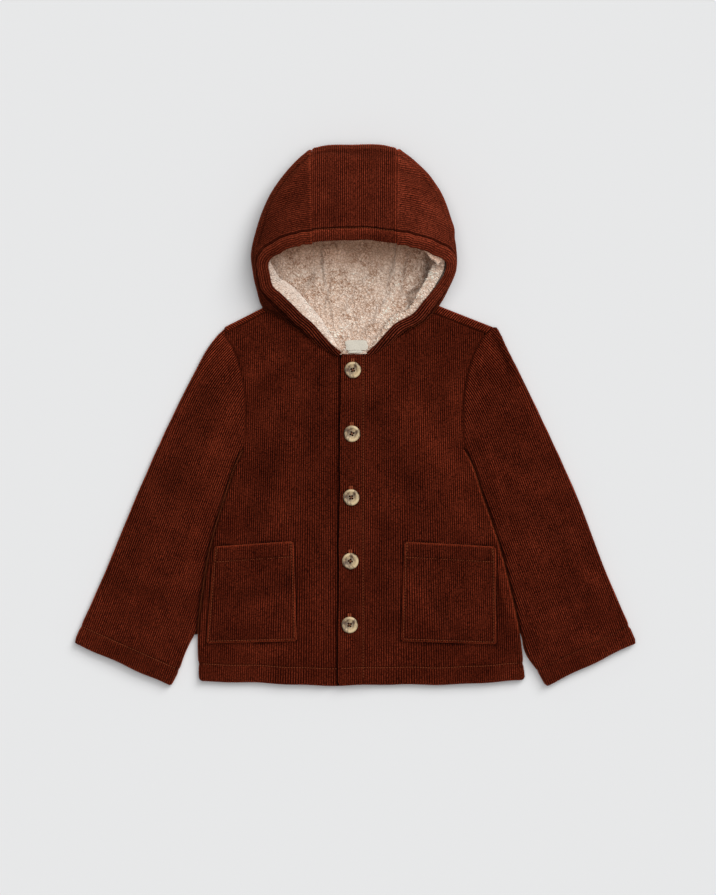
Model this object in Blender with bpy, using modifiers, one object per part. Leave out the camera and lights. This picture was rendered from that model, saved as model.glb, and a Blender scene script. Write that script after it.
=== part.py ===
"""Child's hooded corduroy coat, buttoned and laid flat on its back.

+X is the wearer's left, +Y runs from the hem to the hood, +Z is up from the surface it lies on.
The tables are in millimetres, and cloth_wall() turns them into metres once.
Every panel is a wall between an outer surface, worked out from the cut, and the same surface
moved inwards by the cloth's thickness, so that panels which meet at a seam end face to face.
"""

import math
from collections import namedtuple

import bmesh
import bpy
import numpy as np
from mathutils import Vector

MM = 0.001

# Cloth, in millimetres. The body cloth is corduroy with its fleece lining, pressed as it lies.
BODY_CLOTH = 5.0
PLACKET_CLOTH = 3.0
HOOD_CLOTH = 1.8
HOOD_FLEECE = 3.6
POCKET_CLOTH = 2.0
LAYER_GAP = 1.0
SEAM_GAP = 0.3
HALF_GAP = SEAM_GAP / 2
BODY_HEIGHT = 2 * BODY_CLOTH + LAYER_GAP
ROLL = BODY_HEIGHT / 2

# Centre front: the wearer's left front lies over the right one.
PLACKET_EDGE_TOP = -15.5
PLACKET_EDGE_HEM = -19.0
UNDERLAP_EDGE = 9.0
PLACKET_TOP_Y = 68.0
PLACKET_FLAT_END = {"left": 15.0, "right": -20.5}
PLACKET_BEND = 16.0
UNDER_PLACKET_Z = BODY_HEIGHT - BODY_CLOTH + PLACKET_CLOTH
OVER_PLACKET_Z = UNDER_PLACKET_Z + SEAM_GAP + PLACKET_CLOTH

HEM_Y = -291.0
HEM_DROP = 5.0
UNDERARM_Y = -37.0
NAPE_Y = 84.0
SLEEVE_CLEARANCE = 1.0

BUTTON_RADIUS = 9.0
BUTTON_HEIGHT = 3.4
BUTTON_DISH = 1.1
BUTTON_HOLE_RADIUS = 1.0
BUTTON_HOLE_OFFSET = 2.1
BUTTON_SIDES = 24
BUTTON_COUNT = 5
BUTTON_FIRST = (-2.5, 50.5)
BUTTON_LAST = (-6.0, -229.5)

LABEL_SIZE = (27.0, 14.0, 0.8)
LABEL_CENTRE = (3.0, 76.0)

# Across the coat at a height y: where the edge of the body lies on each side.
Across = namedtuple("Across", "y left right")
SIDE_SEAM = (
    Across(HEM_Y, 187.0, -171.5),
    Across(-240.0, 181.5, -173.0),
    Across(-190.0, 171.0, -167.5),
    Across(-143.0, 159.0, -159.0),
    Across(-85.0, 139.5, -142.0),
    Across(-50.0, 127.5, -130.0),
    Across(UNDERARM_Y, 120.5, -123.5),
)
ARMHOLE = (
    Across(UNDERARM_Y, 120.5, -123.5),
    Across(-10.0, 119.5, -121.0),
    Across(20.0, 120.5, -121.5),
    Across(50.0, 125.5, -126.5),
    Across(75.0, 134.5, -135.0),
    Across(90.0, 144.5, -143.5),
)
SLEEVE_OUTER = (
    Across(95.0, 154.0, -145.5),
    Across(90.0, 159.0, -151.6),
    Across(79.0, 165.0, -160.5),
    Across(46.0, 181.5, -178.0),
    Across(-6.0, 206.5, -203.5),
    Across(-92.0, 245.5, -242.0),
    Across(-172.0, 276.0, -275.0),
    Across(-249.0, 309.5, -309.5),
)
SLEEVE_INNER_END = (
    Across(-240.0, 182.5, -176.5),
    Across(-262.0, 188.0, -187.0),
    Across(-280.0, 200.0, -193.5),
    Across(-297.0, 210.0, -202.0),
)

Point = namedtuple("Point", "x y")
SHOULDER_SEAM_Y = 90.0
SHOULDER_TIP = {"left": Point(154.0, 95.0), "right": Point(-145.5, 95.0)}
NECK_SIDE = {"left": Point(92.0, 121.0), "right": Point(-101.0, 119.0)}
SHOULDER_SEAM_NECK = {"left": Point(86.0, 114.5), "right": Point(-95.5, 115.0)}
SHOULDER_SEAM_TIP = {
    "left": Point(144.5, SHOULDER_SEAM_Y),
    "right": Point(-143.5, SHOULDER_SEAM_Y),
}
# The rows of the fronts, the back and the sleeves that meet at the armhole, as heights above the
# underarm, and how far below the shoulder tip its rounded edge is cut into facets.
ARMHOLE_ROWS = (0.0, 0.7, 2.6, 5.5, 27.0, 57.0, 87.0, 112.0)
TIP_ROWS = (0.0, 0.5, 1.4, 2.6)
HOOD_COLLAR_STEPS = 4
HOOD_CENTRE_STEPS = 6
# Shares across a front at which the placket's flat part and its bend lie.
PLACKET_COLUMNS = (0.0, 0.08, 0.165)
# Shares across a front of its collar, and of its shoulder before the rounded edge.
COLLAR_SHARES = (0.24, 0.62)
FRONT_SHOULDER_SHARES = (0.8, 0.92)
# Rough widths and length of the panels, by which their rounded edges are shared out.
FRONT_WIDTH = 175.0
BACK_WIDTH = 330.0
BACK_LENGTH = 385.0
BACK_NECK_SHARE = 0.16
SHOULDER_SHARE = 0.98
NECK_EASE = 0.5
TIP_EASE = 0.3
NAPE_GAP = 0.7
# How far past its neckline the back's surface is still level, where the back has no wrap.
NAPE_STEP = 0.01
# The gap at each seam of the hood's centre panel, as a share of the panel.
CENTRE_SEAM_SHARE = 0.0032

Corners = namedtuple("Corners", "top_in top_out low_out low_in")
POCKETS = {
    "left": Corners(Point(54, -138), Point(155, -143.5), Point(155, -251), Point(50.5, -247.5)),
    "right": Corners(Point(-67.5, -137.5), Point(-155, -143.5), Point(-163.5, -250), Point(-64, -247.5)),
}

# Round the hood from the front corner of the neck, over the side, to the middle of the crown.
# out is the outline, edge is the hem round the face, and start is the height of the outline.
Station = namedtuple("Station", "out_x out_y edge_x edge_y edge_z start_z")
HOOD = {
    "left": (
        Station(17.0, 69.5, 12.5, 71.5, 15.0, 10.5),
        Station(50.5, 90.5, 41.5, 97.0, 20.0, 10.5),
        Station(76.0, 104.5, 65.0, 112.0, 25.0, 10.5),
        Station(92.0, 121.0, 76.0, 125.0, 30.0, 12.0),
        Station(103.0, 141.0, 88.5, 139.0, 35.0, 17.0),
        Station(110.5, 160.0, 100.5, 154.0, 41.0, 21.0),
        Station(111.0, 181.0, 102.0, 167.0, 48.0, 23.0),
        Station(106.0, 212.0, 89.0, 175.5, 54.0, 24.0),
        Station(88.0, 255.0, 67.0, 183.0, 59.0, 22.0),
        Station(46.5, 293.0, 45.5, 188.0, 61.5, 19.0),
        Station(-1.0, 298.0, -1.0, 192.0, 63.0, 18.0),
    ),
    "right": (
        Station(-18.5, 69.5, -14.0, 71.5, 15.0, 10.5),
        Station(-57.0, 91.0, -46.5, 99.5, 20.0, 10.5),
        Station(-84.0, 109.0, -67.0, 119.0, 25.0, 10.5),
        Station(-101.0, 119.0, -79.0, 131.0, 30.0, 12.0),
        Station(-108.0, 140.0, -90.0, 141.0, 35.0, 17.0),
        Station(-112.0, 160.0, -95.0, 154.0, 41.0, 21.0),
        Station(-113.5, 180.0, -95.5, 168.0, 48.0, 23.0),
        Station(-106.0, 210.0, -84.0, 177.5, 54.0, 24.0),
        Station(-87.0, 252.0, -66.0, 184.5, 59.0, 22.0),
        Station(-48.0, 292.5, -46.5, 188.5, 61.5, 19.0),
        Station(-1.0, 298.0, -1.0, 192.0, 63.0, 18.0),
    ),
}
NECK_STATION = 3
SEAM_STATION = 9
CROWN_STATION = 10
# Where the side panel's rows end, under the hood, as a height on the centre seam.
HOOD_FLOOR_SEAM = {3: 90.0, 4: 112.0, 5: 132.0, 6: 156.0, 7: 190.0, 8: 232.0, 9: 269.0, 10: 312.0}
NAPE_SEAM_X = {"left": 42.0, "right": -43.0}

CORDUROY = (0.058, 0.009, 0.004, 1.0)
FLEECE = (0.62, 0.47, 0.38, 1.0)
LABEL_CREAM = (0.70, 0.63, 0.52, 1.0)
HORN = (0.33, 0.20, 0.10, 1.0)


def start_scene():
    """Remove what the file holds and make the coat's collections."""
    for item in list(bpy.data.objects):
        bpy.data.objects.remove(item, do_unlink=True)
    for name in ("corduroy_coat", "cutters"):
        bpy.context.scene.collection.children.link(bpy.data.collections.new(name))


def material(name, colour, roughness):
    """A plain Principled material."""
    made = bpy.data.materials.new(name)
    made.use_nodes = True
    shader = made.node_tree.nodes["Principled BSDF"]
    shader.inputs["Base Color"].default_value = colour
    shader.inputs["Roughness"].default_value = roughness
    shader.inputs["Metallic"].default_value = 0.0
    return made


def spot(*values):
    """A point, in plan or in space."""
    return np.array(values, float)


def mix(a, b, share):
    """The value a share of the way from a to b."""
    return a + (b - a) * share


def eased(share):
    """0 to 1 with level ends."""
    share = min(1.0, max(0.0, share))
    return share * share * (3 - 2 * share)


def along(values, place):
    """A smooth curve (Catmull-Rom) through values, read at a place counted in values."""
    last = len(values) - 1
    place = min(max(place, 0.0), float(last))
    low = min(int(place), last - 1)
    t = place - low
    a, b = values[low], values[low + 1]
    before = values[low - 1] if low else 2 * a - b
    after = values[low + 2] if low + 2 <= last else 2 * b - a
    slope_a, slope_b = (b - before) / 2, (after - a) / 2
    bend = 3 * (b - a) - 2 * slope_a - slope_b
    return a + t * (slope_a + t * (bend + t * (slope_a + slope_b - 2 * (b - a))))


def at_height(table, side, y):
    """x of a table's curve on one side, at a height y."""
    heights = [row.y for row in table]
    values = [getattr(row, side) for row in table]
    rising = heights[0] < heights[-1]
    if not rising:
        heights, values = heights[::-1], values[::-1]
    y = min(max(y, heights[0]), heights[-1])
    step = max(i for i in range(len(heights) - 1) if heights[i] <= y)
    share = (y - heights[step]) / (heights[step + 1] - heights[step])
    return along(values, step + share)


def body_edge(side, y):
    """x of the side seam or, above the underarm, of the armhole."""
    table = SIDE_SEAM if y < UNDERARM_Y else ARMHOLE
    return at_height(table, side, y)


def rolled(distance):
    """How far from mid-height a rounded edge stands, at a distance inside it.

    At the edge itself it leaves half of the seam's gap.
    """
    radius = ROLL - HALF_GAP
    inside = min(max(0.0, radius - distance), radius)
    return HALF_GAP + math.sqrt(radius * radius - inside * inside)


def armhole_inset(y):
    """The body stops half a gap short of the armhole, and meets its side seam at the underarm."""
    return HALF_GAP * eased((y - UNDERARM_Y) / ROLL)


def to_segment(x, y, a, b):
    """Distance from a point to a straight piece between two points."""
    run, rise = b.x - a.x, b.y - a.y
    share = ((x - a.x) * run + (y - a.y) * rise) / (run * run + rise * rise)
    share = min(1.0, max(0.0, share))
    return math.hypot(x - a.x - share * run, y - a.y - share * rise)


def to_side_seam(side, x, y):
    """Distance inside the side seam, which ends at the underarm."""
    sign = 1 if side == "left" else -1
    if y < UNDERARM_Y:
        return sign * (body_edge(side, y) - x)
    return math.hypot(x - at_height(ARMHOLE, side, UNDERARM_Y), y - UNDERARM_Y)


def hem_y(x):
    """The hem sags a little between its corners."""
    middle = (SIDE_SEAM[0].left + SIDE_SEAM[0].right) / 2
    half = (SIDE_SEAM[0].left - SIDE_SEAM[0].right) / 2
    return HEM_Y - HEM_DROP * (1 - ((x - middle) / half) ** 2)


def nape_y(x):
    """The back neckline: round at the nape, then straight up to each neck side."""
    side = "left" if x > 0 else "right"
    corner, seam_x = NECK_SIDE[side], NAPE_SEAM_X[side]
    if abs(x) <= abs(seam_x):
        return mix(NAPE_Y, HOOD_FLOOR_SEAM[NECK_STATION], (x / seam_x) ** 2)
    return mix(HOOD_FLOOR_SEAM[NECK_STATION], corner.y, (x - seam_x) / (corner.x - seam_x))


def coons(left, right, low, high):
    """The plan of a panel inside its four edges, each a function of 0 to 1."""
    corners = left(0), right(0), left(1), right(1)
    low_ends, high_ends = (low(0), low(1)), (high(0), high(1))

    def place(u, v):
        across = left(v) * (1 - u) + right(v) * u
        low_side = low(u) + mix(corners[0] - low_ends[0], corners[1] - low_ends[1], u)
        high_side = high(u) + mix(corners[2] - high_ends[0], corners[3] - high_ends[1], u)
        along_it = low_side * (1 - v) + high_side * v
        flat = corners[0] * (1 - u) * (1 - v) + corners[1] * u * (1 - v)
        flat = flat + corners[2] * (1 - u) * v + corners[3] * u * v
        return across + along_it - flat

    return place


def front_height(side, x, y):
    """Height of a front's outer face."""
    height = ROLL + rolled(to_side_seam(side, x, y))
    if side == "left":
        lift = 1 - eased((x - UNDERLAP_EDGE - 3) / PLACKET_BEND)
        return height + lift * (OVER_PLACKET_Z - BODY_HEIGHT)
    dip = eased((x - PLACKET_EDGE_HEM + PLACKET_BEND) / (PLACKET_BEND - 4))
    return height - dip * (BODY_HEIGHT - UNDER_PLACKET_Z)


def front_thickness(side, x):
    """The placket is faced with plain cloth, so it is thinner."""
    if side == "left":
        share = 1 - eased((x - UNDERLAP_EDGE - 3) / PLACKET_BEND)
    else:
        share = eased((x - PLACKET_EDGE_HEM + PLACKET_BEND) / (PLACKET_BEND - 4))
    return mix(BODY_CLOTH, PLACKET_CLOTH, share)


def collar_stations():
    """Where the front neckline and the hood that is sewn to it are both cut into facets."""
    return spread(0.0, NECK_STATION, HOOD_COLLAR_STEPS)


def front_columns(side):
    """The columns of a front from its centre edge: a share across, and its top point."""
    sign = 1 if side == "left" else -1
    flat_end = PLACKET_FLAT_END[side]
    seam_neck, seam_tip = SHOULDER_SEAM_NECK[side], SHOULDER_SEAM_TIP[side]
    start = PLACKET_EDGE_TOP if side == "left" else UNDERLAP_EDGE
    collar = [hood_station(side, station)[0] for station in collar_stations()[1:-1]]
    tops = [spot(start, PLACKET_TOP_Y), spot((start + flat_end) / 2, PLACKET_TOP_Y)]
    tops = tops + [spot(flat_end, PLACKET_TOP_Y)]
    tops = tops + [point + spot(sign, -1) * SEAM_GAP for point in collar]
    tops = tops + [spot(*seam_neck) + spot(sign * SEAM_GAP, -SEAM_GAP)]
    shares = list(PLACKET_COLUMNS) + spread(*COLLAR_SHARES, len(collar))
    outer_end = spot(seam_tip.x - sign * HALF_GAP, seam_tip.y - HALF_GAP)
    rim = tuple(1 - step for step in reversed(edge_steps(FRONT_WIDTH)))
    for share in FRONT_SHOULDER_SHARES + rim + (1.0,):
        shares.append(share)
        tops.append(mix(tops[6], outer_end, (share - shares[6]) / (1 - shares[6])))
    return shares, tops


def between(shares, points, u):
    """A point on the straight pieces through points that stand at the given shares."""
    step = max(i for i in range(len(shares) - 1) if shares[i] <= u)
    return mix(points[step], points[step + 1], (u - shares[step]) / (shares[step + 1] - shares[step]))


def front_plan(side):
    """Plan of a front: u from the centre edge to the side, v from the hem to the shoulder."""
    sign = 1 if side == "left" else -1
    shares, tops = front_columns(side)
    if side == "left":
        centre_low, centre_high = PLACKET_EDGE_HEM, PLACKET_EDGE_TOP
    else:
        centre_low = centre_high = UNDERLAP_EDGE

    def high(u):
        return between(shares, tops, max(0.0, u))

    def left(v):
        return spot(mix(centre_low, centre_high, v), mix(hem_y(centre_low), PLACKET_TOP_Y, v))

    def right(v):
        y = mix(HEM_Y, SHOULDER_SEAM_Y, v)
        return spot(body_edge(side, y) - sign * armhole_inset(y), y)

    def low(u):
        x = mix(centre_low, SIDE_SEAM[0].left if sign > 0 else SIDE_SEAM[0].right, u)
        return spot(x, hem_y(x))

    return coons(left, right, low, high)


def front_surface(side):
    """Outer face of a front."""
    plan = front_plan(side)

    def place(u, v):
        x, y = plan(u, v)
        return spot(x, y, front_height(side, x, y))

    return place


def back_surface(u, v):
    """Outer face of the back: u from the wearer's right to left, v from the hem to the top at 1.

    From 1 to 2 it wraps over the shoulder as far as the forward shoulder seam.
    """
    x, y = back_plan(u, min(v, 1.0))
    side = "left" if u > 0.5 else "right"
    tip, neck = SHOULDER_TIP[side], NECK_SIDE[side]
    on_nape = BACK_NECK_SHARE < u < 1 - BACK_NECK_SHARE
    if v > 1 + (NAPE_STEP if on_nape else 0):
        sign = 1 if side == "left" else -1
        seam_tip = spot(*SHOULDER_SEAM_TIP[side]) + spot(-sign * HALF_GAP, HALF_GAP)
        seam_neck = spot(*SHOULDER_SEAM_NECK[side]) + spot(0, HALF_GAP)
        seam = mix(seam_tip, seam_neck, min(u, 1 - u) / BACK_NECK_SHARE)
        x, y = mix(spot(x, y), seam, v - 1)
        return spot(x, y, ROLL + rolled(to_segment(x, y, tip, neck)))
    inside = min(to_side_seam(side, x, y), to_segment(x, y, tip, neck))
    return spot(x, y + max(0.0, v - 1), ROLL - rolled(inside))


def back_top(u):
    """Top edge of the back: shoulder, neckline, shoulder."""
    right, left = NECK_SIDE["right"].x - NECK_EASE, NECK_SIDE["left"].x + NECK_EASE
    if BACK_NECK_SHARE <= u <= 1 - BACK_NECK_SHARE:
        part = (u - BACK_NECK_SHARE) / (1 - 2 * BACK_NECK_SHARE)
        x = mix(right, left, part)
        return spot(x, nape_y(x) - NAPE_GAP)
    part = min(u, 1 - u) / BACK_NECK_SHARE
    tip = SHOULDER_TIP["left" if u > 0.5 else "right"]
    end = left if u > 0.5 else right
    return mix(spot(*tip), spot(end, nape_y(end) - NAPE_GAP), part)


def nape_columns():
    """Shares across the back at which its neckline and the hood's centre panel have corners."""
    low, high = NECK_SIDE["right"].x - NECK_EASE, NECK_SIDE["left"].x + NECK_EASE
    seam_right, seam_left = NAPE_SEAM_X["right"], NAPE_SEAM_X["left"]
    places = spread(low, seam_right, 2) + spread(seam_right, seam_left, HOOD_CENTRE_STEPS)[1:]
    places = places + spread(seam_left, high, 2)[1:]
    return [mix(BACK_NECK_SHARE, 1 - BACK_NECK_SHARE, (x - low) / (high - low)) for x in places]


def armhole_edge(side, y):
    """x of the armhole's edge, straight from the shoulder seam to the shoulder tip."""
    tip, seam_tip = SHOULDER_TIP[side], SHOULDER_SEAM_TIP[side]
    if y <= seam_tip.y:
        return body_edge(side, y)
    return mix(seam_tip.x, tip.x, (y - seam_tip.y) / (tip.y - seam_tip.y))


def back_side(side):
    """Side edge of the back: side seam, then the armhole to the shoulder tip."""
    sign = 1 if side == "left" else -1
    tip = SHOULDER_TIP[side]

    def place(v):
        y = mix(HEM_Y, SHOULDER_SEAM_Y, v / SHOULDER_SHARE)
        over = max(0.0, (v - SHOULDER_SHARE) / (1 - SHOULDER_SHARE))
        if over:
            y = mix(SHOULDER_SEAM_Y, tip.y, over)
        inset = armhole_inset(y) + TIP_EASE * eased(over)
        return spot(armhole_edge(side, y) - sign * inset, y)

    return place


def back_hem(u):
    """Hem of the back."""
    x = mix(SIDE_SEAM[0].right, SIDE_SEAM[0].left, u)
    return spot(x, hem_y(x))


back_plan = coons(back_side("right"), back_side("left"), back_hem, back_top)


def armhole_point(side, share):
    """The armhole in plan from the shoulder tip, at 0, to the underarm."""
    y = mix(SHOULDER_TIP[side].y, UNDERARM_Y, share)
    return spot(armhole_edge(side, y), y)


def sleeve_edges(side):
    """Outer and inner edge of a sleeve in plan, each from the armhole, at 0, to the cuff."""
    sign = 1 if side == "left" else -1
    tip, cuff_out = SHOULDER_TIP[side], SLEEVE_OUTER[-1]
    cuff_in = SLEEVE_INNER_END[-1]

    def outer(s):
        y = mix(tip.y, cuff_out.y, s)
        return spot(at_height(SLEEVE_OUTER, side, y), y)

    def inner(s):
        y = mix(UNDERARM_Y, cuff_in.y, s)
        if y > SLEEVE_INNER_END[0].y:
            return spot(body_edge(side, y) + sign * SLEEVE_CLEARANCE, y)
        return spot(at_height(SLEEVE_INNER_END, side, y), y)

    return outer, inner


def sleeve_plan(side):
    """Plan of a sleeve: k from its outer to its inner edge, s from the armhole to the cuff."""
    sign = 1 if side == "left" else -1
    outer, inner = sleeve_edges(side)

    def place(k, s):
        straight = mix(outer(s), inner(s), k)
        at_top = armhole_point(side, k) + spot(sign * HALF_GAP, 0)
        swell = at_top - mix(outer(0), inner(0), k)
        return straight + swell * (1 - s) ** 2

    return place


def sleeve_surface(side):
    """Outer face of a sleeve: c runs from the underarm seam over the top and back under it."""
    plan = sleeve_plan(side)

    def place(c, s):
        c = c % 2
        on_top = c <= 1
        k = 1 - c if on_top else c - 1
        here = plan(k, s)
        height = rolled(min(math.dist(here, plan(0, s)), math.dist(here, plan(1, s))))
        return spot(*here, ROLL + (height if on_top else -height))

    return place


def hood_floor(side, station):
    """Where a row of the side panel ends under the hood, on the centre seam."""
    keys = sorted(HOOD_FLOOR_SEAM)
    y = along([HOOD_FLOOR_SEAM[k] for k in keys], station - keys[0])
    seam_x = HOOD[side][SEAM_STATION].out_x
    low, high = HOOD_FLOOR_SEAM[NECK_STATION], HOOD_FLOOR_SEAM[SEAM_STATION]
    share = (y - low) / (high - low)
    sign = 1 if side == "left" else -1
    return spot(mix(NAPE_SEAM_X[side], seam_x, share) + sign * HALF_GAP, y)


def hood_section(out, edge, edge_z, start_z, floor, q):
    """A hood section: q -2 to -1 along the floor, -1 to 0 round the roll, 0 to 1 up to the face."""
    if q >= 0:
        turn = q * math.pi / 2
        return spot(*mix(out, edge, 1 - math.cos(turn)), mix(start_z, edge_z, math.sin(turn)))
    inward = floor - out
    length = math.hypot(*inward)
    tangent = out + inward * min(start_z / length, 0.8)
    if q < -1:
        return spot(*mix(tangent, floor, -1 - q), 0.0)
    turn = (1 + q) * math.pi / 2
    return spot(*mix(tangent, out, math.sin(turn)), start_z * (1 - math.cos(turn)))


def hood_station(side, station):
    """The outline and the face edge in plan, and their heights, at a place round the hood."""
    other = "right" if side == "left" else "left"
    rows = HOOD[side] + (HOOD[other][SEAM_STATION],)
    values = [along([row[i] for row in rows], station) for i in range(len(Station._fields))]
    row = Station(*values)
    return spot(row.out_x, row.out_y), spot(row.edge_x, row.edge_y), row.edge_z, row.start_z


def hood_side_surface(side):
    """Outer face of a side panel: stations round the outline, q across the section."""
    def place(station, q):
        floor = hood_floor(side, max(station, NECK_STATION))
        return hood_section(*hood_station(side, station), floor, q)

    return place


def hood_centre_surface(across, q):
    """Outer face of the centre panel: across from 0 on the wearer's right to 1, q as above."""
    side = "right" if across < 0.5 else "left"
    station = mix(CROWN_STATION, SEAM_STATION, abs(2 * across - 1))
    nape_x = mix(NAPE_SEAM_X["right"], NAPE_SEAM_X["left"], across)
    return hood_section(*hood_station(side, station), spot(nape_x, nape_y(nape_x)), q)


def across_neck(side):
    """Level direction square to the seam from the neck's side to the nape."""
    along_seam = spot(*NECK_SIDE[side]) - hood_floor(side, NECK_STATION)
    out = spot(-along_seam[1], along_seam[0], 0.0)
    return out / np.linalg.norm(out)


def across_tip(side):
    """Level direction square to the armhole from the shoulder seam to the shoulder tip."""
    along_seam = spot(*SHOULDER_TIP[side]) - spot(*SHOULDER_SEAM_TIP[side])
    out = spot(-along_seam[1], along_seam[0], 0.0)
    return out / np.linalg.norm(out)


def normal_at(surface, u, v, flip):
    """The outward direction of a surface, from tiny steps inside its edges."""
    tiny = 1e-6
    du = surface(u + tiny, v) - surface(u - tiny, v)
    dv = surface(u, v + tiny) - surface(u, v - tiny)
    out = np.cross(du, dv)
    return out / np.linalg.norm(out) * (-1 if flip else 1)


def cloth_wall(
    name, surface, us, vs, thickness, look, depth=0.0, flip=False, keep=None, ring=False,
    level_v=None, square=None,
):
    """A closed wall: the surface on a grid, moved in by depth, with thickness below it.

    keep(i, j) says which cells of the grid are cloth, and ring joins the last column to the first.
    The wall lies level on the floor up to level_v. Where square(u, v) gives an axis the wall ends
    square to it, so that it faces the wall of the next panel.
    """
    mesh = bmesh.new()
    sides = {}
    low_u, high_u, low_v, high_v = us[0], us[-1], vs[0], vs[-1]
    tiny = 2e-6

    def corner(i, j, layer):
        key = (i % (len(us) - 1) if ring else i, j, layer)
        if key not in sides:
            u, v = us[key[0]], vs[j]
            here = surface(u, v)
            near_u = u if ring else min(max(u, low_u + tiny), high_u - tiny)
            near_v = min(max(v, low_v + tiny), high_v - tiny)
            out = normal_at(surface, near_u, near_v, flip)
            if level_v is not None and v <= level_v:
                out = spot(0, 0, -1)
            axis = square(u, v) if square else None
            if axis is not None:
                out = out - axis * np.dot(out, axis)
                out = out / np.linalg.norm(out)
            wall = thickness(here[0]) if callable(thickness) else thickness
            sides[key] = mesh.verts.new((here - out * (depth + (wall if layer else 0.0))) * MM)
        return sides[key]

    cells = {
        (i, j)
        for i in range(len(us) - 1)
        for j in range(len(vs) - 1)
        if keep is None or keep(i, j)
    }
    for i, j in sorted(cells):
        loop = ((i, j), (i + 1, j), (i + 1, j + 1), (i, j + 1))
        if flip:
            loop = loop[::-1]
        mesh.faces.new([corner(*at, 0) for at in loop])
        mesh.faces.new([corner(*at, 1) for at in reversed(loop)])
    columns = len(us) - 1
    beside = {"u+": (1, 0), "u-": (-1, 0), "v+": (0, 1), "v-": (0, -1)}
    ends = {
        "u+": ((1, 1), (1, 0)),
        "u-": ((0, 0), (0, 1)),
        "v+": ((0, 1), (1, 1)),
        "v-": ((1, 0), (0, 0)),
    }
    for i, j in sorted(cells):
        for way, (di, dj) in beside.items():
            neighbour = ((i + di) % columns if ring else i + di, j + dj)
            if neighbour in cells:
                continue
            a, b = [(i + p, j + q) for p, q in ends[way]]
            loop = [corner(*a, 0), corner(*b, 0), corner(*b, 1), corner(*a, 1)]
            mesh.faces.new(loop[::-1] if flip else loop)
    bmesh.ops.remove_doubles(mesh, verts=mesh.verts, dist=1e-7)
    bmesh.ops.triangulate(mesh, faces=mesh.faces)
    data = bpy.data.meshes.new(name)
    mesh.to_mesh(data)
    mesh.free()
    data.materials.append(look)
    data.shade_smooth()
    data.set_sharp_from_angle(angle=math.radians(40))
    made = bpy.data.objects.new(name, data)
    bpy.data.collections["corduroy_coat"].objects.link(made)
    return made


def spread(low, high, count):
    """Evenly spaced values from low to high."""
    return [mix(low, high, i / count) for i in range(count + 1)]


def edge_steps(width):
    """Shares of a width at which a rounded edge is cut into facets."""
    return [ROLL * (1 - math.cos(math.radians(a))) / width for a in (35, 65, 90)]


def make_fronts(look):
    """Both fronts."""
    armhole = [(UNDERARM_Y + rise - HEM_Y) / (SHOULDER_SEAM_Y - HEM_Y) for rise in ARMHOLE_ROWS]
    vs = spread(0.0, armhole[0], 6)[:-1] + armhole + [1.0]
    for side in ("right", "left"):
        us = front_columns(side)[0]
        cloth_wall(
            f"front_{side}",
            front_surface(side),
            us,
            vs,
            lambda x, side=side: front_thickness(side, x),
            look,
            flip=side == "right",
        )


def make_back(look):
    """The back, with its wraps over the shoulders."""
    rim = edge_steps(BACK_WIDTH)
    edge = [0.0] + rim + [BACK_NECK_SHARE / 2]
    us = edge + nape_columns() + [1 - u for u in reversed(edge)]
    seam_rise = SHOULDER_SEAM_Y - HEM_Y
    armhole = [(UNDERARM_Y + rise - HEM_Y) / seam_rise * SHOULDER_SHARE for rise in ARMHOLE_ROWS]
    top = [SHOULDER_SHARE] + [1 - share for share in reversed(edge_steps(BACK_LENGTH))]
    vs = spread(0.0, armhole[0], 6)[:-1] + armhole + top + [1.0, 1.15, 1.5, 2.0]
    last_flat = vs.index(1.0)

    def keep(i, j):
        middle = (us[i] + us[i + 1]) / 2
        on_shoulder = min(middle, 1 - middle) < BACK_NECK_SHARE
        return j < last_flat or on_shoulder

    def square(u, v):
        side = "left" if u > 0.5 else "right"
        if v <= SHOULDER_SHARE:
            return None
        if min(u, 1 - u) <= rim[-1]:
            return across_tip(side)
        return across_neck(side) if us.index(u) in (len(edge), len(us) - 1 - len(edge)) else None

    cloth_wall("back", back_surface, us, vs, BODY_CLOTH, look, flip=True, keep=keep, square=square)


def make_sleeves(look):
    """Both sleeves, each a flattened tube sewn to itself at the underarm."""
    for side in ("right", "left"):
        tip_y = SHOULDER_TIP[side].y
        heights = [tip_y - drop for drop in TIP_ROWS] + [SHOULDER_SEAM_Y]
        heights = heights + [UNDERARM_Y + rise for rise in reversed(ARMHOLE_ROWS)]
        shares = [(tip_y - y) / (tip_y - UNDERARM_Y) for y in heights]
        around = [1 - k for k in reversed(shares)] + [1 + k for k in shares[1:]]
        vs = [0.0, 0.015, 0.05] + spread(0.1, 1.0, 7)

        def square(c, s, side=side):
            at_tip = mix(SHOULDER_TIP[side].y, UNDERARM_Y, abs(c - 1)) > SHOULDER_SEAM_Y
            return across_tip(side) if at_tip and s == 0 else None

        cloth_wall(
            f"sleeve_{side}", sleeve_surface(side), around, vs, BODY_CLOTH, look,
            flip=side == "left", ring=True, square=square,
        )


def make_pockets(look):
    """Patch pockets, made from the front they lie on, moved out."""
    for side, corners in POCKETS.items():
        def place(u, v, side=side, corners=corners):
            low = mix(spot(*corners.low_in), spot(*corners.low_out), u)
            high = mix(spot(*corners.top_in), spot(*corners.top_out), u)
            x, y = mix(low, high, v)
            return spot(x, y, front_height(side, x, y) + SEAM_GAP + POCKET_CLOTH)

        us = spread(0.0, 0.9, 4) + [0.95, 0.975, 1.0]
        cloth_wall(f"pocket_{side}", place, us, spread(0, 1, 4), POCKET_CLOTH, look, flip=side == "right")


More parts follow.
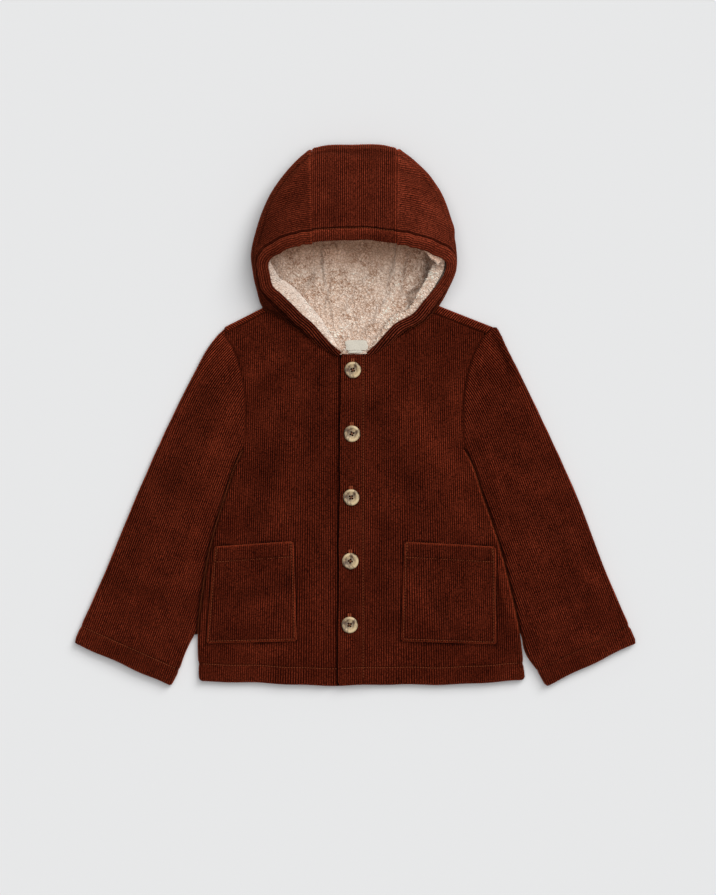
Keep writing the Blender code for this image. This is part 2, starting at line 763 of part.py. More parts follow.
def make_hood(corduroy, fleece):
    """The hood's three panels and the three of its lining."""
    layers = (
        ("hood", HOOD_CLOTH, 0.0, corduroy),
        ("hood_lining", HOOD_FLEECE, HOOD_CLOTH + SEAM_GAP, fleece),
    )
    floor = spread(-2.0, -1.0, 2)
    roll = spread(-1.0, 0.0, 3)[1:]
    wall = spread(0.0, 1.0, 5)[1:]
    qs = floor + roll + wall
    wall_start = qs.index(0.0)
    for layer, cloth, depth, look in layers:
        skipped = 1 if depth else 0
        for side in ("right", "left"):
            stations = collar_stations() + spread(NECK_STATION, SEAM_STATION - CENTRE_SEAM_SHARE, 10)[1:]
            neck_row = stations.index(NECK_STATION)

            def keep(i, j, neck_row=neck_row, skipped=skipped):
                return i >= neck_row or j >= wall_start + skipped

            def square(u, v, side=side, last=stations[-1]):
                if u == last:
                    return spot(1, 0, 0)
                return across_neck(side) if u == NECK_STATION and v < 0 else None

            node = f"{layer}_side_{side}" if layer == "hood" else f"{layer}_{side}"
            cloth_wall(
                node, hood_side_surface(side), stations, qs, cloth, look,
                depth=depth, flip=side == "right", keep=keep, level_v=-1.0, square=square,
            )
        edge = CENTRE_SEAM_SHARE / 2
        across = spread(edge, 1 - edge, HOOD_CENTRE_STEPS)
        cloth_wall(
            f"{layer}_centre", hood_centre_surface, across, qs, cloth, look,
            depth=depth, flip=True, level_v=-1.0,
            square=lambda u, v: spot(1, 0, 0) if u in (edge, 1 - edge) else None,
        )


def make_label(look):
    """A small woven label, flat on the lining at the nape."""
    made = bmesh.new()
    bmesh.ops.create_cube(made, size=1.0)
    bmesh.ops.scale(made, vec=Vector(LABEL_SIZE) * MM, verts=made.verts)
    data = bpy.data.meshes.new("neck_label")
    made.to_mesh(data)
    made.free()
    data.materials.append(look)
    label = bpy.data.objects.new("neck_label", data)
    height = BODY_CLOTH + SEAM_GAP + LABEL_SIZE[2] / 2
    label.location = Vector((*LABEL_CENTRE, height)) * MM
    bpy.data.collections["corduroy_coat"].objects.link(label)


def button_profile():
    """Half section of a button, from the middle of its face, down its rim, to its underside."""
    r, h = BUTTON_RADIUS, BUTTON_HEIGHT
    return (
        (0.0, h - BUTTON_DISH),
        (0.56 * r, h - BUTTON_DISH),
        (0.70 * r, h - 0.3),
        (0.82 * r, h),
        (0.94 * r, h - 0.4),
        (r, h - 1.2),
        (0.97 * r, 0.8),
        (0.80 * r, 0.0),
        (0.0, 0.0),
    )


def make_buttons(look):
    """Five four-hole buttons: a turned blank, drilled, and set down the placket."""
    data = bpy.data.meshes.new("button_blank")
    profile = [(x * MM, 0.0, z * MM) for x, z in button_profile()]
    data.from_pydata(profile, [(i, i + 1) for i in range(len(profile) - 1)], [])
    blank = bpy.data.objects.new("button_blank", data)
    bpy.data.collections["cutters"].objects.link(blank)
    turn = blank.modifiers.new("turn", "SCREW")
    turn.steps = turn.render_steps = BUTTON_SIDES
    turn.use_merge_vertices = True
    turn.merge_threshold = 0.00001

    drills = bmesh.new()
    for quarter in range(4):
        angle = math.radians(45 + 90 * quarter)
        hole = Vector((math.cos(angle), math.sin(angle), 0.0)) * BUTTON_HOLE_OFFSET * MM
        drill = bmesh.ops.create_cone(
            drills, cap_ends=True, segments=8, depth=4 * BUTTON_HEIGHT * MM,
            radius1=BUTTON_HOLE_RADIUS * MM, radius2=BUTTON_HOLE_RADIUS * MM,
        )
        bmesh.ops.translate(drills, verts=drill["verts"], vec=hole)
    drill_mesh = bpy.data.meshes.new("button_drills")
    drills.to_mesh(drill_mesh)
    drills.free()
    drill_object = bpy.data.objects.new("button_drills", drill_mesh)
    bpy.data.collections["cutters"].objects.link(drill_object)
    drilling = blank.modifiers.new("drill", "BOOLEAN")
    drilling.operation = "DIFFERENCE"
    drilling.solver = "EXACT"
    drilling.object = drill_object
    for tool in (blank, drill_object):
        tool.hide_render = True
        tool.display_type = "WIRE"

    bpy.context.view_layer.update()
    seen = blank.evaluated_get(bpy.context.evaluated_depsgraph_get())
    drilled = bpy.data.meshes.new_from_object(seen)
    drilled.name = "button"
    drilled.materials.clear()
    drilled.materials.append(look)
    drilled.shade_smooth()
    drilled.set_sharp_from_angle(angle=math.radians(35))
    for number in range(BUTTON_COUNT):
        share = number / (BUTTON_COUNT - 1)
        x, y = mix(BUTTON_FIRST[0], BUTTON_LAST[0], share), mix(BUTTON_FIRST[1], BUTTON_LAST[1], share)
        button = bpy.data.objects.new(f"button_{number + 1}", drilled)
        button.location = Vector((x, y, OVER_PLACKET_Z + SEAM_GAP)) * MM
        bpy.data.collections["corduroy_coat"].objects.link(button)


def main():
    """Build the coat."""
    start_scene()
    corduroy = material("corduroy", CORDUROY, 0.85)
    fleece = material("fleece", FLEECE, 0.95)
    make_back(corduroy)
    make_fronts(corduroy)
    make_sleeves(corduroy)
    make_pockets(corduroy)
    make_hood(corduroy, fleece)
    make_label(material("woven_label", LABEL_CREAM, 0.9))
    make_buttons(material("horn", HORN, 0.35))


main()
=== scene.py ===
"""Looks of the child's hooded corduroy coat, laid flat on its back.

+X is the wearer's left, +Y runs from the hem to the hood, +Z is up from the floor.
Sizes are in millimetres, and new_object() turns them into metres. The corduroy's cords are in the
meshes: each panel is a fine grid whose columns follow the cords, trimmed to the panel's outline.
"""

import math
from collections import namedtuple

import bmesh
import bpy
import numpy as np
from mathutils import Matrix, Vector, noise


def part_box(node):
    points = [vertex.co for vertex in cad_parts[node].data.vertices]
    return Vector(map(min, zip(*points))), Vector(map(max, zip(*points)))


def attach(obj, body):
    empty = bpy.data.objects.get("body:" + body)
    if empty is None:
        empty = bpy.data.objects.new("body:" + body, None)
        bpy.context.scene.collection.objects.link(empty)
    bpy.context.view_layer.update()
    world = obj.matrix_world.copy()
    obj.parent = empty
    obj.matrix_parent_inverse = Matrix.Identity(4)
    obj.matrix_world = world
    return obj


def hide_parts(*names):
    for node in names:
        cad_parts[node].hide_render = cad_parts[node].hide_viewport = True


MM = 0.001
SIDES = ("left", "right")


def bell(value, middle, width):
    """1 at the middle, falling away smoothly on both sides of it."""
    return np.exp(-(((value - middle) / width) ** 2))


class Bump(namedtuple("Bump", "height middle width")):
    """A ridge or a groove, in millimetres or in shares of a tone, at a distance from an edge."""

    def at(self, distance):
        """What it adds at a distance."""
        return self.height * bell(distance, self.middle, self.width)


def bumps(rows, distance):
    """The sum of ridges and grooves that run at their distances from an edge."""
    return sum(row.at(distance) for row in rows)


# Corduroy: 11 cords to the inch, four mesh columns to a cord, and each cord's section.
CORD_PITCH = 2.3
CORD_STEP = CORD_PITCH / 4
CORD_HEIGHT = 0.55
CORD_SECTION = (0.0, 0.6, 1.0, 0.6, 0.0)

# Points of two sheets closer than this become one.
WELD = 0.002

# Stands for the distance to an edge that isn't beside a place.
FAR = 99.0

# The coat's body: its whole height, its rolled edges, the doubled cloth at turned edges and how
# far in its under side is built, and the least height of the fronts.
BODY_HEIGHT = 11.0
ROLL = BODY_HEIGHT / 2
EDGE_CLOTH = 4.4
TURNED_BAND = 12.0
CUFF_BAND = 14.0
LOWEST = 0.3

# The fronts: the placket and the edge under it, the pockets, the swell of the cloth, the collar
# and the hem. Names in STITCH are distances of stitch rows from the edge, apart from the placket's.
PLACKET_CLOTH = 3.0
PLACKET_LIFT = 1.7
PLACKET_FADE = 12.0
PLACKET_FADE_WIDTH = 16.0
PLACKET_DIP = 2.0
PLACKET_EDGE_TOP = -15.5
PLACKET_EDGE_HEM = -19.0
PLACKET_STITCH_X = 9.0
PLACKET_TOP_Y = 68.0
UNDERLAP_EDGE = 6.0
POCKET_RISE = 3.3
POCKET_HEM = 17.0
POCKET_ROLL = 1.8
POCKET_CORD_SHIFT = 0.9
FRONT_SWELL = 1.6
COLLAR_DIP = 2.0
COLLAR_WIDTH = 6.0
HEM_Y = -291.0
HEM_DROP = 5.0
HEM_SAG_REACH = 90.0
HEM_STITCH = 19.0
CORNER = 4.5
CUFF_STITCH = 20.0
POCKET_STITCH = 2.6

# Where sleeves, fronts and back meet, how deep the seams and crevices between them are, and how
# the sleeves lean: their cords lean more towards the shoulder.
UNDERARM_Y = -37.0
NAPE_Y = 84.0
SLEEVE_CLEARANCE = -0.4
CREVICE_BOTTOM = 2.0
CREVICE_WIDTH = 3.2
SLEEVE_LAP = -0.7
SLEEVE_SWELL = 2.6
SLEEVE_TILT = math.radians(20.5)
CAP_LEAN = math.radians(24.0)
CAP_BEND_START = -20.0
CAP_BEND_END = 85.0
STRIP_TUCK = 5.0
SEAM_DIP = 1.7
SEAM_WIDTH = 3.2
SLEEVE_SEAM_WIDTH = 2.0
SHOULDER_SEAM_DIP = 3.2
SHOULDER_SEAM_WIDTH = 1.5

# The outline of the body and the sleeves: x on the wearer's left and right at heights y.
Across = namedtuple("Across", "y left right")
SIDE_SEAM = (
    Across(HEM_Y, 187.0, -171.5),
    Across(-240.0, 181.5, -173.0),
    Across(-190.0, 171.0, -167.5),
    Across(-143.0, 159.0, -159.0),
    Across(-85.0, 139.5, -142.0),
    Across(-50.0, 127.5, -130.0),
    Across(UNDERARM_Y, 120.5, -123.5),
)
ARMHOLE = (
    Across(UNDERARM_Y, 120.5, -123.5),
    Across(-10.0, 119.5, -121.0),
    Across(20.0, 120.5, -121.5),
    Across(50.0, 125.5, -126.5),
    Across(75.0, 134.5, -135.0),
    Across(90.0, 144.5, -143.5),
    Across(97.0, 153.0, -141.2),
)
SLEEVE_OUTER = (
    Across(99.0, 154.5, -140.6),
    Across(91.0, 159.5, -149.0),
    Across(79.0, 165.0, -158.8),
    Across(46.0, 181.5, -177.4),
    Across(-6.0, 206.5, -203.5),
    Across(-92.0, 245.5, -242.0),
    Across(-172.0, 276.0, -275.0),
    Across(-249.0, 309.5, -309.5),
)
SLEEVE_INNER_END = (
    Across(-240.0, 182.5, -176.5),
    Across(-262.0, 188.0, -187.0),
    Across(-280.0, 200.0, -193.5),
    Across(-297.0, 210.0, -202.0),
)

Point = namedtuple("Point", "x y")
SHOULDER_TIP = {"left": Point(153.0, 97.0), "right": Point(-142.5, 98.0)}
NECK_SIDE = {"left": Point(92.0, 121.0), "right": Point(-101.0, 119.0)}
SHOULDER_SEAM_NECK = {"left": Point(84.0, 113.5), "right": Point(-95.5, 115.0)}
SHOULDER_SEAM_TIP = {"left": Point(144.5, 90.0), "right": Point(-143.5, 90.0)}

Corners = namedtuple("Corners", "top_in top_out low_out low_in")
POCKETS = {
    "left": Corners(Point(54, -138), Point(155, -143.5), Point(155, -251), Point(50.5, -247.5)),
    "right": Corners(Point(-67.5, -137.5), Point(-155, -143.5), Point(-163.5, -250), Point(-64, -247.5)),
}

# The hood round its face, from the placket to the crown: its outline on the floor, its face edge,
# and the height where its wall starts.
Station = namedtuple("Station", "out_x out_y edge_x edge_y edge_z start_z")
HOOD = {
    "left": (
        Station(17.0, 66.0, 14.0, 66.0, 14.0, 10.5),
        Station(50.5, 90.5, 41.5, 97.0, 20.0, 10.5),
        Station(76.0, 104.5, 65.0, 112.0, 25.0, 10.5),
        Station(92.0, 121.0, 76.0, 125.0, 30.0, 12.0),
        Station(103.0, 141.0, 88.5, 139.0, 35.0, 17.0),
        Station(110.5, 160.0, 100.5, 154.0, 41.0, 21.0),
        Station(111.0, 181.0, 102.0, 167.0, 48.0, 23.0),
        Station(106.0, 212.0, 89.0, 175.5, 54.0, 24.0),
        Station(88.0, 255.0, 67.0, 183.0, 59.0, 22.0),
        Station(46.5, 293.0, 45.5, 188.0, 61.5, 19.0),
        Station(-1.0, 298.0, -1.0, 192.0, 63.0, 18.0),
    ),
    "right": (
        Station(-19.0, 66.0, -16.0, 66.0, 14.0, 10.5),
        Station(-57.0, 91.0, -46.5, 99.5, 20.0, 10.5),
        Station(-84.0, 109.0, -67.0, 119.0, 25.0, 10.5),
        Station(-101.0, 119.0, -79.0, 131.0, 30.0, 12.0),
        Station(-108.0, 140.0, -90.0, 141.0, 35.0, 17.0),
        Station(-112.0, 160.0, -95.0, 154.0, 41.0, 21.0),
        Station(-113.5, 180.0, -95.5, 168.0, 48.0, 23.0),
        Station(-106.0, 210.0, -84.0, 177.5, 54.0, 24.0),
        Station(-87.0, 252.0, -66.0, 184.5, 59.0, 22.0),
        Station(-48.0, 292.5, -46.5, 188.5, 61.5, 19.0),
        Station(-1.0, 298.0, -1.0, 192.0, 63.0, 18.0),
    ),
}
NECK_STATION = 3
SEAM_STATION = 9
CROWN_STATION = 10
HOOD_FLOOR_SEAM = (90.0, 112.0, 132.0, 156.0, 190.0, 232.0, 269.0, 312.0)
NAPE_SEAM_X = {"left": 42.0, "right": -43.0}

# The hood's band, its seams, the shade low on its sides, the turn round its face edge and the
# facing inside, and the fleece that lines it.
HOOD_BAND = 11.5
HOOD_BAND_TONE = 0.25
HOOD_SEAM_DIP = 0.8
HOOD_SEAM_WIDTH = 2.0
LOW_HOOD_SHADE = 0.45
LOW_HOOD_START = 1.5
LOW_HOOD_RUN = 3.5
HOOD_EDGE_REACH = 40.0
HOOD_TURN = 2.6
HOOD_FACING = 7.0
HOOD_START = math.pi * HOOD_TURN + HOOD_FACING
LINING_DEPTH = 5.2
LINING_STEP = 1.1
FLEECE_PILE = 2.6
FLEECE_SEED = 7

# A soft fold: its middle, direction in degrees from +X, half-length, half-width and height.
Fold = namedtuple("Fold", "x y angle length width height")
FRONT_FOLDS = (
    Fold(76, -18, -56, 55, 15, 2.5),
    Fold(46, -48, -64, 70, 13, -2.2),
    Fold(104, 30, -75, 50, 11, 1.7),
    Fold(165, -188, -78, 48, 5, 3.1),
    Fold(157, -205, -76, 40, 4, -2.3),
    Fold(120, -100, -68, 60, 14, 1.6),
    Fold(28, -190, -88, 90, 10, -1.6),
    Fold(68, -203, -50, 26, 8, 2.5),
    Fold(96, -214, -58, 34, 9, -2.2),
    Fold(130, -190, -80, 36, 10, 1.6),
    Fold(-99, -191, 18, 34, 8, -2.5),
    Fold(-96, -206, 20, 30, 9, 2.2),
    Fold(-118, 20, -96, 60, 8, 1.9),
    Fold(-70, -60, 84, 90, 14, 1.7),
    Fold(-95, -70, 76, 80, 12, -1.9),
    Fold(-45, 10, 80, 60, 12, -1.6),
    Fold(-130, -120, 74, 50, 9, 1.6),
    Fold(-40, -235, 86, 50, 10, 1.6),
    Fold(110, -272, 2, 40, 6, 1.2),
    Fold(-90, -262, -3, 50, 6, 1.2),
)
SLEEVE_FOLDS = (
    Fold(163, 62, -62, 34, 4, -2.9),
    Fold(155, 58, -64, 40, 6, 1.8),
    Fold(166, -48, -30, 30, 10, -2.6),
    Fold(178, -66, -38, 34, 9, 2.2),
    Fold(205, -120, -55, 50, 12, -1.8),
    Fold(240, -200, 24, 22, 4, -2.2),
    Fold(226, -214, 30, 26, 5, 1.8),
    Fold(150, -60, -70, 40, 6, 2.4),
    Fold(262, -190, -64, 44, 8, 1.4),
    Fold(-150, 60, 60, 34, 8, 2.2),
    Fold(-168, 20, 66, 40, 9, -1.7),
    Fold(-150, -20, 70, 44, 10, 1.8),
    Fold(-190, -60, 62, 60, 12, -2.0),
    Fold(-223, -196, -34, 20, 4, -2.2),
    Fold(-235, -210, -28, 26, 5, 1.8),
    Fold(-215, -140, 66, 60, 11, 1.7),
    Fold(-172, -120, 70, 60, 8, 1.8),
)
HOOD_FOLDS = (
    Fold(60, 272, -37, 22, 3.5, 1.8),
    Fold(66, 262, -34, 22, 3.5, -1.6),
    Fold(60, 250, -20, 16, 3.0, 1.4),
    Fold(60, 241, 6, 14, 2.8, 1.2),
    Fold(62, 246, -8, 16, 2.4, -1.1),
    Fold(82, 226, -36, 34, 5, 1.6),
    Fold(90, 212, -44, 30, 5, -1.4),
    Fold(-78, 240, 50, 36, 6, 1.6),
    Fold(-88, 222, 58, 34, 5, -1.6),
    Fold(-60, 268, 40, 22, 4, 1.3),
    Fold(-66, 216, 20, 24, 5, 1.0),
    Fold(0, 240, 84, 60, 18, 1.0),
    Fold(28, 215, 80, 40, 8, -1.2),
    Fold(-24, 225, 96, 44, 9, -1.2),
    Fold(-38, 214, 88, 34, 5, 1.0),
    Fold(0, 281, 1, 42, 3.5, 1.2),
    Fold(0, 288, 1, 42, 3.0, -1.4),
)
LINING_FOLDS = (
    Fold(-33, 163, 96, 22, 1.7, -2.6),
    Fold(-31, 136, 84, 18, 1.6, -2.2),
    Fold(-30, 112, 98, 14, 1.5, -1.8),
    Fold(-25, 145, 92, 40, 6, 0.9),
    Fold(-46, 150, 60, 20, 1.8, -1.2),
    Fold(38, 156, 84, 22, 1.8, -2.2),
    Fold(32, 130, 66, 16, 1.6, -2.2),
    Fold(24, 110, 80, 14, 1.5, -1.9),
    Fold(44, 140, 80, 40, 6, 0.9),
    Fold(54, 152, 74, 26, 2.0, -2.2),
    Fold(78, 155, 79, 21, 3.4, -3.6),
    Fold(67, 135, 18, 10, 2.8, -2.8),
    Fold(60, 124, -76, 10, 2.8, -2.6),
    Fold(8, 152, 40, 12, 1.8, -1.4),
    Fold(-6, 128, 70, 16, 2.2, -0.9),
    Fold(-58, 138, 40, 22, 3, -1.3),
    Fold(12, 92, 64, 14, 2.2, -1.4),
    Fold(0, 186, 0, 60, 8, -1.0),
)

# How far the lining's soft lip stands in from the face, at each station of the hood.
LINING_LIP = {
    "right": (5.0, 13.0, 16.5, 16.5, 13.0, 8.0, 3.0, -1.0, -3.0, -3.0),
    "left": (3.0, 8.5, 9.5, 12.0, 14.0, 15.0, 14.0, 7.0, 0.0, -3.0),
}

# The lip across: its place and width in from the face, its drop, the crease at its foot, and by
# piece how curly and how shaded it is.
LIP_PLACE = 13.0
LIP_WIDTH = 8.0
LIP_DROP = 5.5
LIP_FOOT = 26.0
LIP_SPREAD = 13.0
LIP_CURL = {"right": 0.2, "left": 0.9, "centre": 1.0}
LIP_SHADE = {"right": 0.12, "left": 0.5, "centre": 0.0}

# Painted shade in creases: how much darker the fleece is for each millimetre of a crease's depth.
CREASE_SHADE = 0.14

# Where the lining goes into the shade under the hood's roof, and over how long.
ROOF_START = 150.0
ROOF_RUN = 42.0

# Tones of the corduroy, as shares of its colour: partly by the way the nap of each piece lies, partly
# painted light, the raised hood lightest on its side towards the key lamp.
NAP_AND_LIGHT_TONES = {
    "body": (1.0, 1.0, 1.0),
    "sleeve_left": (1.16, 1.16, 1.18),
    "sleeve_right": (1.18, 1.2, 1.2),
    "hood_centre": (1.34, 1.46, 1.60),
    "hood_left": (1.62, 1.87, 2.13),
    "hood_right": (1.21, 1.36, 1.46),
}

# Relief beside edges and seams, in millimetres.
STITCH_GROOVE = Bump(-0.75, 0.0, 1.1)
HEM_NOTCH = Bump(0.9, HEM_STITCH, 2.5)
CUFF_NOTCH = Bump(0.9, CUFF_STITCH, 2.5)
BESIDE_POCKET = Bump(-0.9, -0.8, 2.2)
POCKET_MOUTH = Bump(1.3, 3.0, 9.0)
POCKET_SEAM = Bump(-0.8, 2.8, 1.0)
POCKET_GATHER = Bump(0.25, 5.0, 2.5)
ARMHOLE_ROLL = Bump(1.0, 5.0, 4.0)
SLEEVE_OUTLINE = (Bump(0.8, 4.0, 2.0), Bump(-1.0, 9.0, 3.0))
SHOULDER_ROLL = Bump(0.9, 3.0, 2.5)
HOOD_BAND_ROLL = Bump(2.2, HOOD_BAND / 2, 4.5)
HOOD_SEAM_ROLL = Bump(0.6, 3.2, 2.2)
HOOD_OUTLINE = (Bump(0.9, 5.0, 1.4), Bump(-0.8, 2.8, 1.1), Bump(-0.7, 7.4, 1.3), Bump(0.5, 9.8, 1.5))

# Painted highlights along edges, rolls, seams and creases, some with painted shade beside them, as shares
# of the tone, at distances from them.
FRONT_EDGE_HIGHLIGHT = Bump(1.6, 1.2, 0.8)
POCKET_EDGE_HIGHLIGHT = Bump(0.8, 0.6, 0.9)
SLEEVE_EDGE_LIGHT_AND_SHADE = (Bump(1.4, 0.6, 0.5), Bump(-0.25, 2.6, 0.9))
SLEEVE_ROLL_LIGHT = Bump(0.3, 7.0, 4.0)
SHOULDER_EDGE_HIGHLIGHT = Bump(1.6, 0.6, 0.6)
HOOD_BAND_LIGHT_AND_SHADE = (Bump(0.9, HOOD_BAND - 1.5, 0.9), Bump(-0.25, 1.0, 3.0))
HOOD_EDGE_HIGHLIGHT = Bump(1.6, 0.7, 0.55)
HOOD_EDGE_SHADE = Bump(-0.35, 2.8, 1.0)
HOOD_CREASE_LIGHT_AND_SHADE = (Bump(0.5, 4.6, 0.9), Bump(-0.35, 7.4, 1.2))
HOOD_SEAM_HIGHLIGHT = Bump(0.5, 1.6, 0.7)

# Painted shade in crevices, seams, stitches and under buttons: how far from them, and how much.
STITCH_SHADE = (0.8, 0.35)
POCKET_STITCH_SHADE = (0.7, 0.3)
POCKET_SHADE = (0.9, 0.7)
COLLAR_SHADE = (0.9, 0.5)
SIDE_SHADE = (2.2, 0.95)
UNDERLAP_SHADE = (1.5, 0.97)
ARMHOLE_SHADE = (0.8, 0.6)
BESIDE_BODY_SHADE = (3.0, 0.94)
SHOULDER_SEAM_SHADE = (0.7, 0.5)
SHOULDER_ARM_SHADE = (0.9, 0.6)
HOOD_SEAM_SHADE = (0.6, 0.6)
HOOD_BAND_SHADE = (1.2, 0.75)
BUTTON_SHADE = 0.12
BUTTON_SHADE_WIDTH = 1.8

# Painted shade in the grooves between the cords: how dark they are, as a share of the cords, by how the nap
# covers them.
GROOVE_SHADES = {"body": 0.09, "hood_centre": 0.1, "hood_left": 0.22, "hood_right": 0.22}
BARE_GROOVE_SHADE = 0.02

# Stitches: small bars, given as rings of (place along, girth, rise) in shares of their own size.
STITCH_PITCH = 3.1
STITCH_LENGTH = 2.3
STITCH_RADIUS = 0.31
STITCH_SIDES = 6
STITCH_RINGS = ((-0.5, 0.0, 0.0), (-0.42, 0.75, 0.35), (0.0, 1.0, 0.6), (0.42, 0.75, 0.35), (0.5, 0.0, 0.0))
THINNEST_GIRTH = 0.25
STITCH_SINK = 0.1

# Buttons: their turns, in radians, and their four holes.
BUTTON_SPINS = (0.25, -0.4, 0.1, 0.6, -0.15)
BUTTON_STEPS = 64
BUTTON_FACE = 1.2
HOLE_PLACE = 1.75
HOLE_RADIUS = 1.15
BUTTON_BEVEL = 0.12
THREAD_SIDES = 8
BUTTON_THREAD = 0.3
THREAD_PATH = ((1.6, -2.2), (1.5, -0.6), (1.0, 0.1))

# Buttonholes: how far above a button's middle their stitches start and end, and their section.
BUTTONHOLE_START = 12.5
BUTTONHOLE_END = 8.2
BUTTONHOLE_HALF = 1.1
BUTTONHOLE_STITCHES = 16
BUTTONHOLE_SECTION = ((-0.75, -0.2), (-0.5, 0.35), (0.5, 0.35), (0.75, -0.2))
BUTTONHOLE_THREAD = 0.24

# The label's thickness.
LABEL_CLOTH = 0.55

# Painted light and shade on folds: how much lighter the cloth is painted on a fold than beside it, and
# darker in a trough, for each millimetre of its height.
FOLD_LIGHT_AND_SHADE = 0.1

# Rings of cells just inside a panel's edge, by their distance from it: the edge's roll is in them.
RIM = (1.9, 1.1, 0.55, 0.18, 0.0)
NO_RIM = (0.0,)

# Half the width of the closer rows of a grid beside a row of stitches, and their step.
STITCH_FINE = (2.4, 0.6)

Grid = namedtuple("Grid", "points faces rim")
Sheet = namedtuple("Sheet", "points faces cord press tone", defaults=(1.0,))
Fine = namedtuple("Fine", "middle half step")


def mix(a, b, share):
    """The value a share of the way from a to b."""
    return a + (b - a) * share


def eased(share):
    """0 to 1 with level ends."""
    share = np.clip(share, 0.0, 1.0)
    return share * share * (3 - 2 * share)


def fades(distance, width):
    """1 up to an edge, falling smoothly to 0 at a width inside it."""
    return 1 - eased(distance / width)


def xyz(x, y, z):
    """Points from their three coordinates."""
    return np.stack([x, y, z], 1)


def along(values, place):
    """A smooth curve (Catmull-Rom) through values, read at places counted in values."""
    values = np.asarray(values, float)
    place = np.clip(np.asarray(place, float), 0.0, len(values) - 1.0)
    low = np.minimum(place.astype(int), len(values) - 2)
    padded = np.concatenate([[2 * values[0] - values[1]], values, [2 * values[-1] - values[-2]]])
    before, a, b, after = (padded[low + k] for k in range(4))
    t = place - low
    slope_a, slope_b = (b - before) / 2, (after - a) / 2
    bend = 3 * (b - a) - 2 * slope_a - slope_b
    return a + t * (slope_a + t * (bend + t * (slope_a + slope_b - 2 * (b - a))))


def smooth(knots, values, at):
    """A smooth curve through values at uneven knots."""
    knots, values, at = (np.asarray(each, float) for each in (knots, values, at))
    slope = np.gradient(values, knots)
    at = np.clip(at, knots[0], knots[-1])
    low = np.clip(np.searchsorted(knots, at, side="right") - 1, 0, len(knots) - 2)
    span = knots[low + 1] - knots[low]
    t = (at - knots[low]) / span
    rise = values[low + 1] - values[low]
    begin, end = slope[low] * span, slope[low + 1] * span
    return values[low] + t * (begin + t * (3 * rise - 2 * begin - end + t * (begin + end - 2 * rise)))


def at_height(table, side, y):
    """x of a table's curve on one side, at heights y."""
    rows = sorted(table)
    return smooth([row.y for row in rows], [getattr(row, side) for row in rows], y)


def body_edge(side, y):
    """x of the side seam or, above the underarm, of the armhole."""
    edge = np.where(y < UNDERARM_Y, at_height(SIDE_SEAM, side, y), at_height(ARMHOLE, side, y))
    tip, seam = SHOULDER_TIP[side], SHOULDER_SEAM_TIP[side]
    over = (y - seam.y) / (tip.y - seam.y)
    edge = np.where(y > seam.y, mix(seam.x, tip.x, over), edge)
    return edge - sign_of(side) * HEM_NOTCH.at(y - HEM_Y)


def nearest(*gaps):
    """The smallest of several distances at each place."""
    return np.minimum.reduce(gaps)


def sign_of(side):
    """The wearer's left is +X."""
    return 1 if side == "left" else -1


def rolled(distance, radius=ROLL):
    """Height of a rounded edge at a distance inside it."""
    inside = np.clip(radius - distance, 0.0, radius)
    return np.sqrt(radius * radius - inside * inside)


def turned_in(distance, half=EDGE_CLOTH / 2):
    """How far round its turned edge the cloth is at a distance inside it, from 0 to 1."""
    return np.sqrt(np.clip(1 - (1 - np.clip(distance / half, 0, 1)) ** 2, 0, 1))


def beside_top(distance):
    """Height of the top of a folded edge that lies against its neighbour."""
    share = rolled(distance * ROLL / CREVICE_WIDTH) / ROLL
    return mix(CREVICE_BOTTOM, BODY_HEIGHT, share)


def beside_bottom(distance):
    """Height of the underside of such an edge."""
    return CREVICE_BOTTOM - rolled(distance, CREVICE_BOTTOM)


def above_line(x, y, a, b):
    """Signed distance of points to the left of the line from a to b."""
    run, rise = b[0] - a[0], b[1] - a[1]
    return (run * (y - a[1]) - rise * (x - a[0])) / math.hypot(run, rise)


def hem_y(x):
    """The hem sags between its corners and is a little uneven."""
    middle = (SIDE_SEAM[0].left + SIDE_SEAM[0].right) / 2
    half = (SIDE_SEAM[0].left - SIDE_SEAM[0].right) / 2
    wave = 0.7 * np.sin(x / 23) + 0.4 * np.sin(x / 9 + 1)
    return HEM_Y - HEM_DROP * (1 - ((x - middle) / half) ** 2) + wave


def nape_y(x):
    """The back neckline: round at the nape, then straight up to each neck side."""
    x = np.asarray(x, float)
    seam_x = np.where(x > 0, NAPE_SEAM_X["left"], NAPE_SEAM_X["right"])
    corner_x = np.where(x > 0, NECK_SIDE["left"].x, NECK_SIDE["right"].x)
    corner_y = np.where(x > 0, NECK_SIDE["left"].y, NECK_SIDE["right"].y)
    end_y = HOOD_FLOOR_SEAM[0]
    bowed = mix(NAPE_Y, end_y, (x / seam_x) ** 2)
    straight = mix(end_y, corner_y, (x - seam_x) / (corner_x - seam_x))
    return np.where(np.abs(x) <= np.abs(seam_x), bowed, straight)


def folds(table, x, y):
    """Height that soft folds add to cloth in plan."""
    total = np.zeros(np.shape(x))
    for fold in table:
        turn = math.radians(fold.angle)
        run = (x - fold.x) * math.cos(turn) + (y - fold.y) * math.sin(turn)
        off = (y - fold.y) * math.cos(turn) - (x - fold.x) * math.sin(turn)
        off = off + 3.0 * np.sin(run / 21 + fold.x)
        total += fold.height * np.exp(-((off / fold.width) ** 2) - (run / fold.length) ** 4)
    return total


def uneven(x, y):
    """The gentle unevenness of cloth that lies."""
    swell = np.sin(x / 31 + 1.3 * np.sin(y / 47)) * np.sin(y / 38 + 0.8 * np.sin(x / 29))
    small = np.sin(x / 11 + 2 * np.sin(y / 19)) * np.sin(y / 14 + np.sin(x / 13))
    return 0.55 * swell + 0.16 * small


def puckers(distance, run, width=5.0):
    """The groove of a row of stitches and the small gathers beside it."""
    gather = 0.22 * np.sin(run / 2.1 + 1.7 * np.sin(run / 13.0))
    groove = STITCH_GROOVE.at(distance)
    return groove + (0.35 + gather) * np.exp(-(((np.abs(distance) - 3.0) / width) ** 2) * 3)


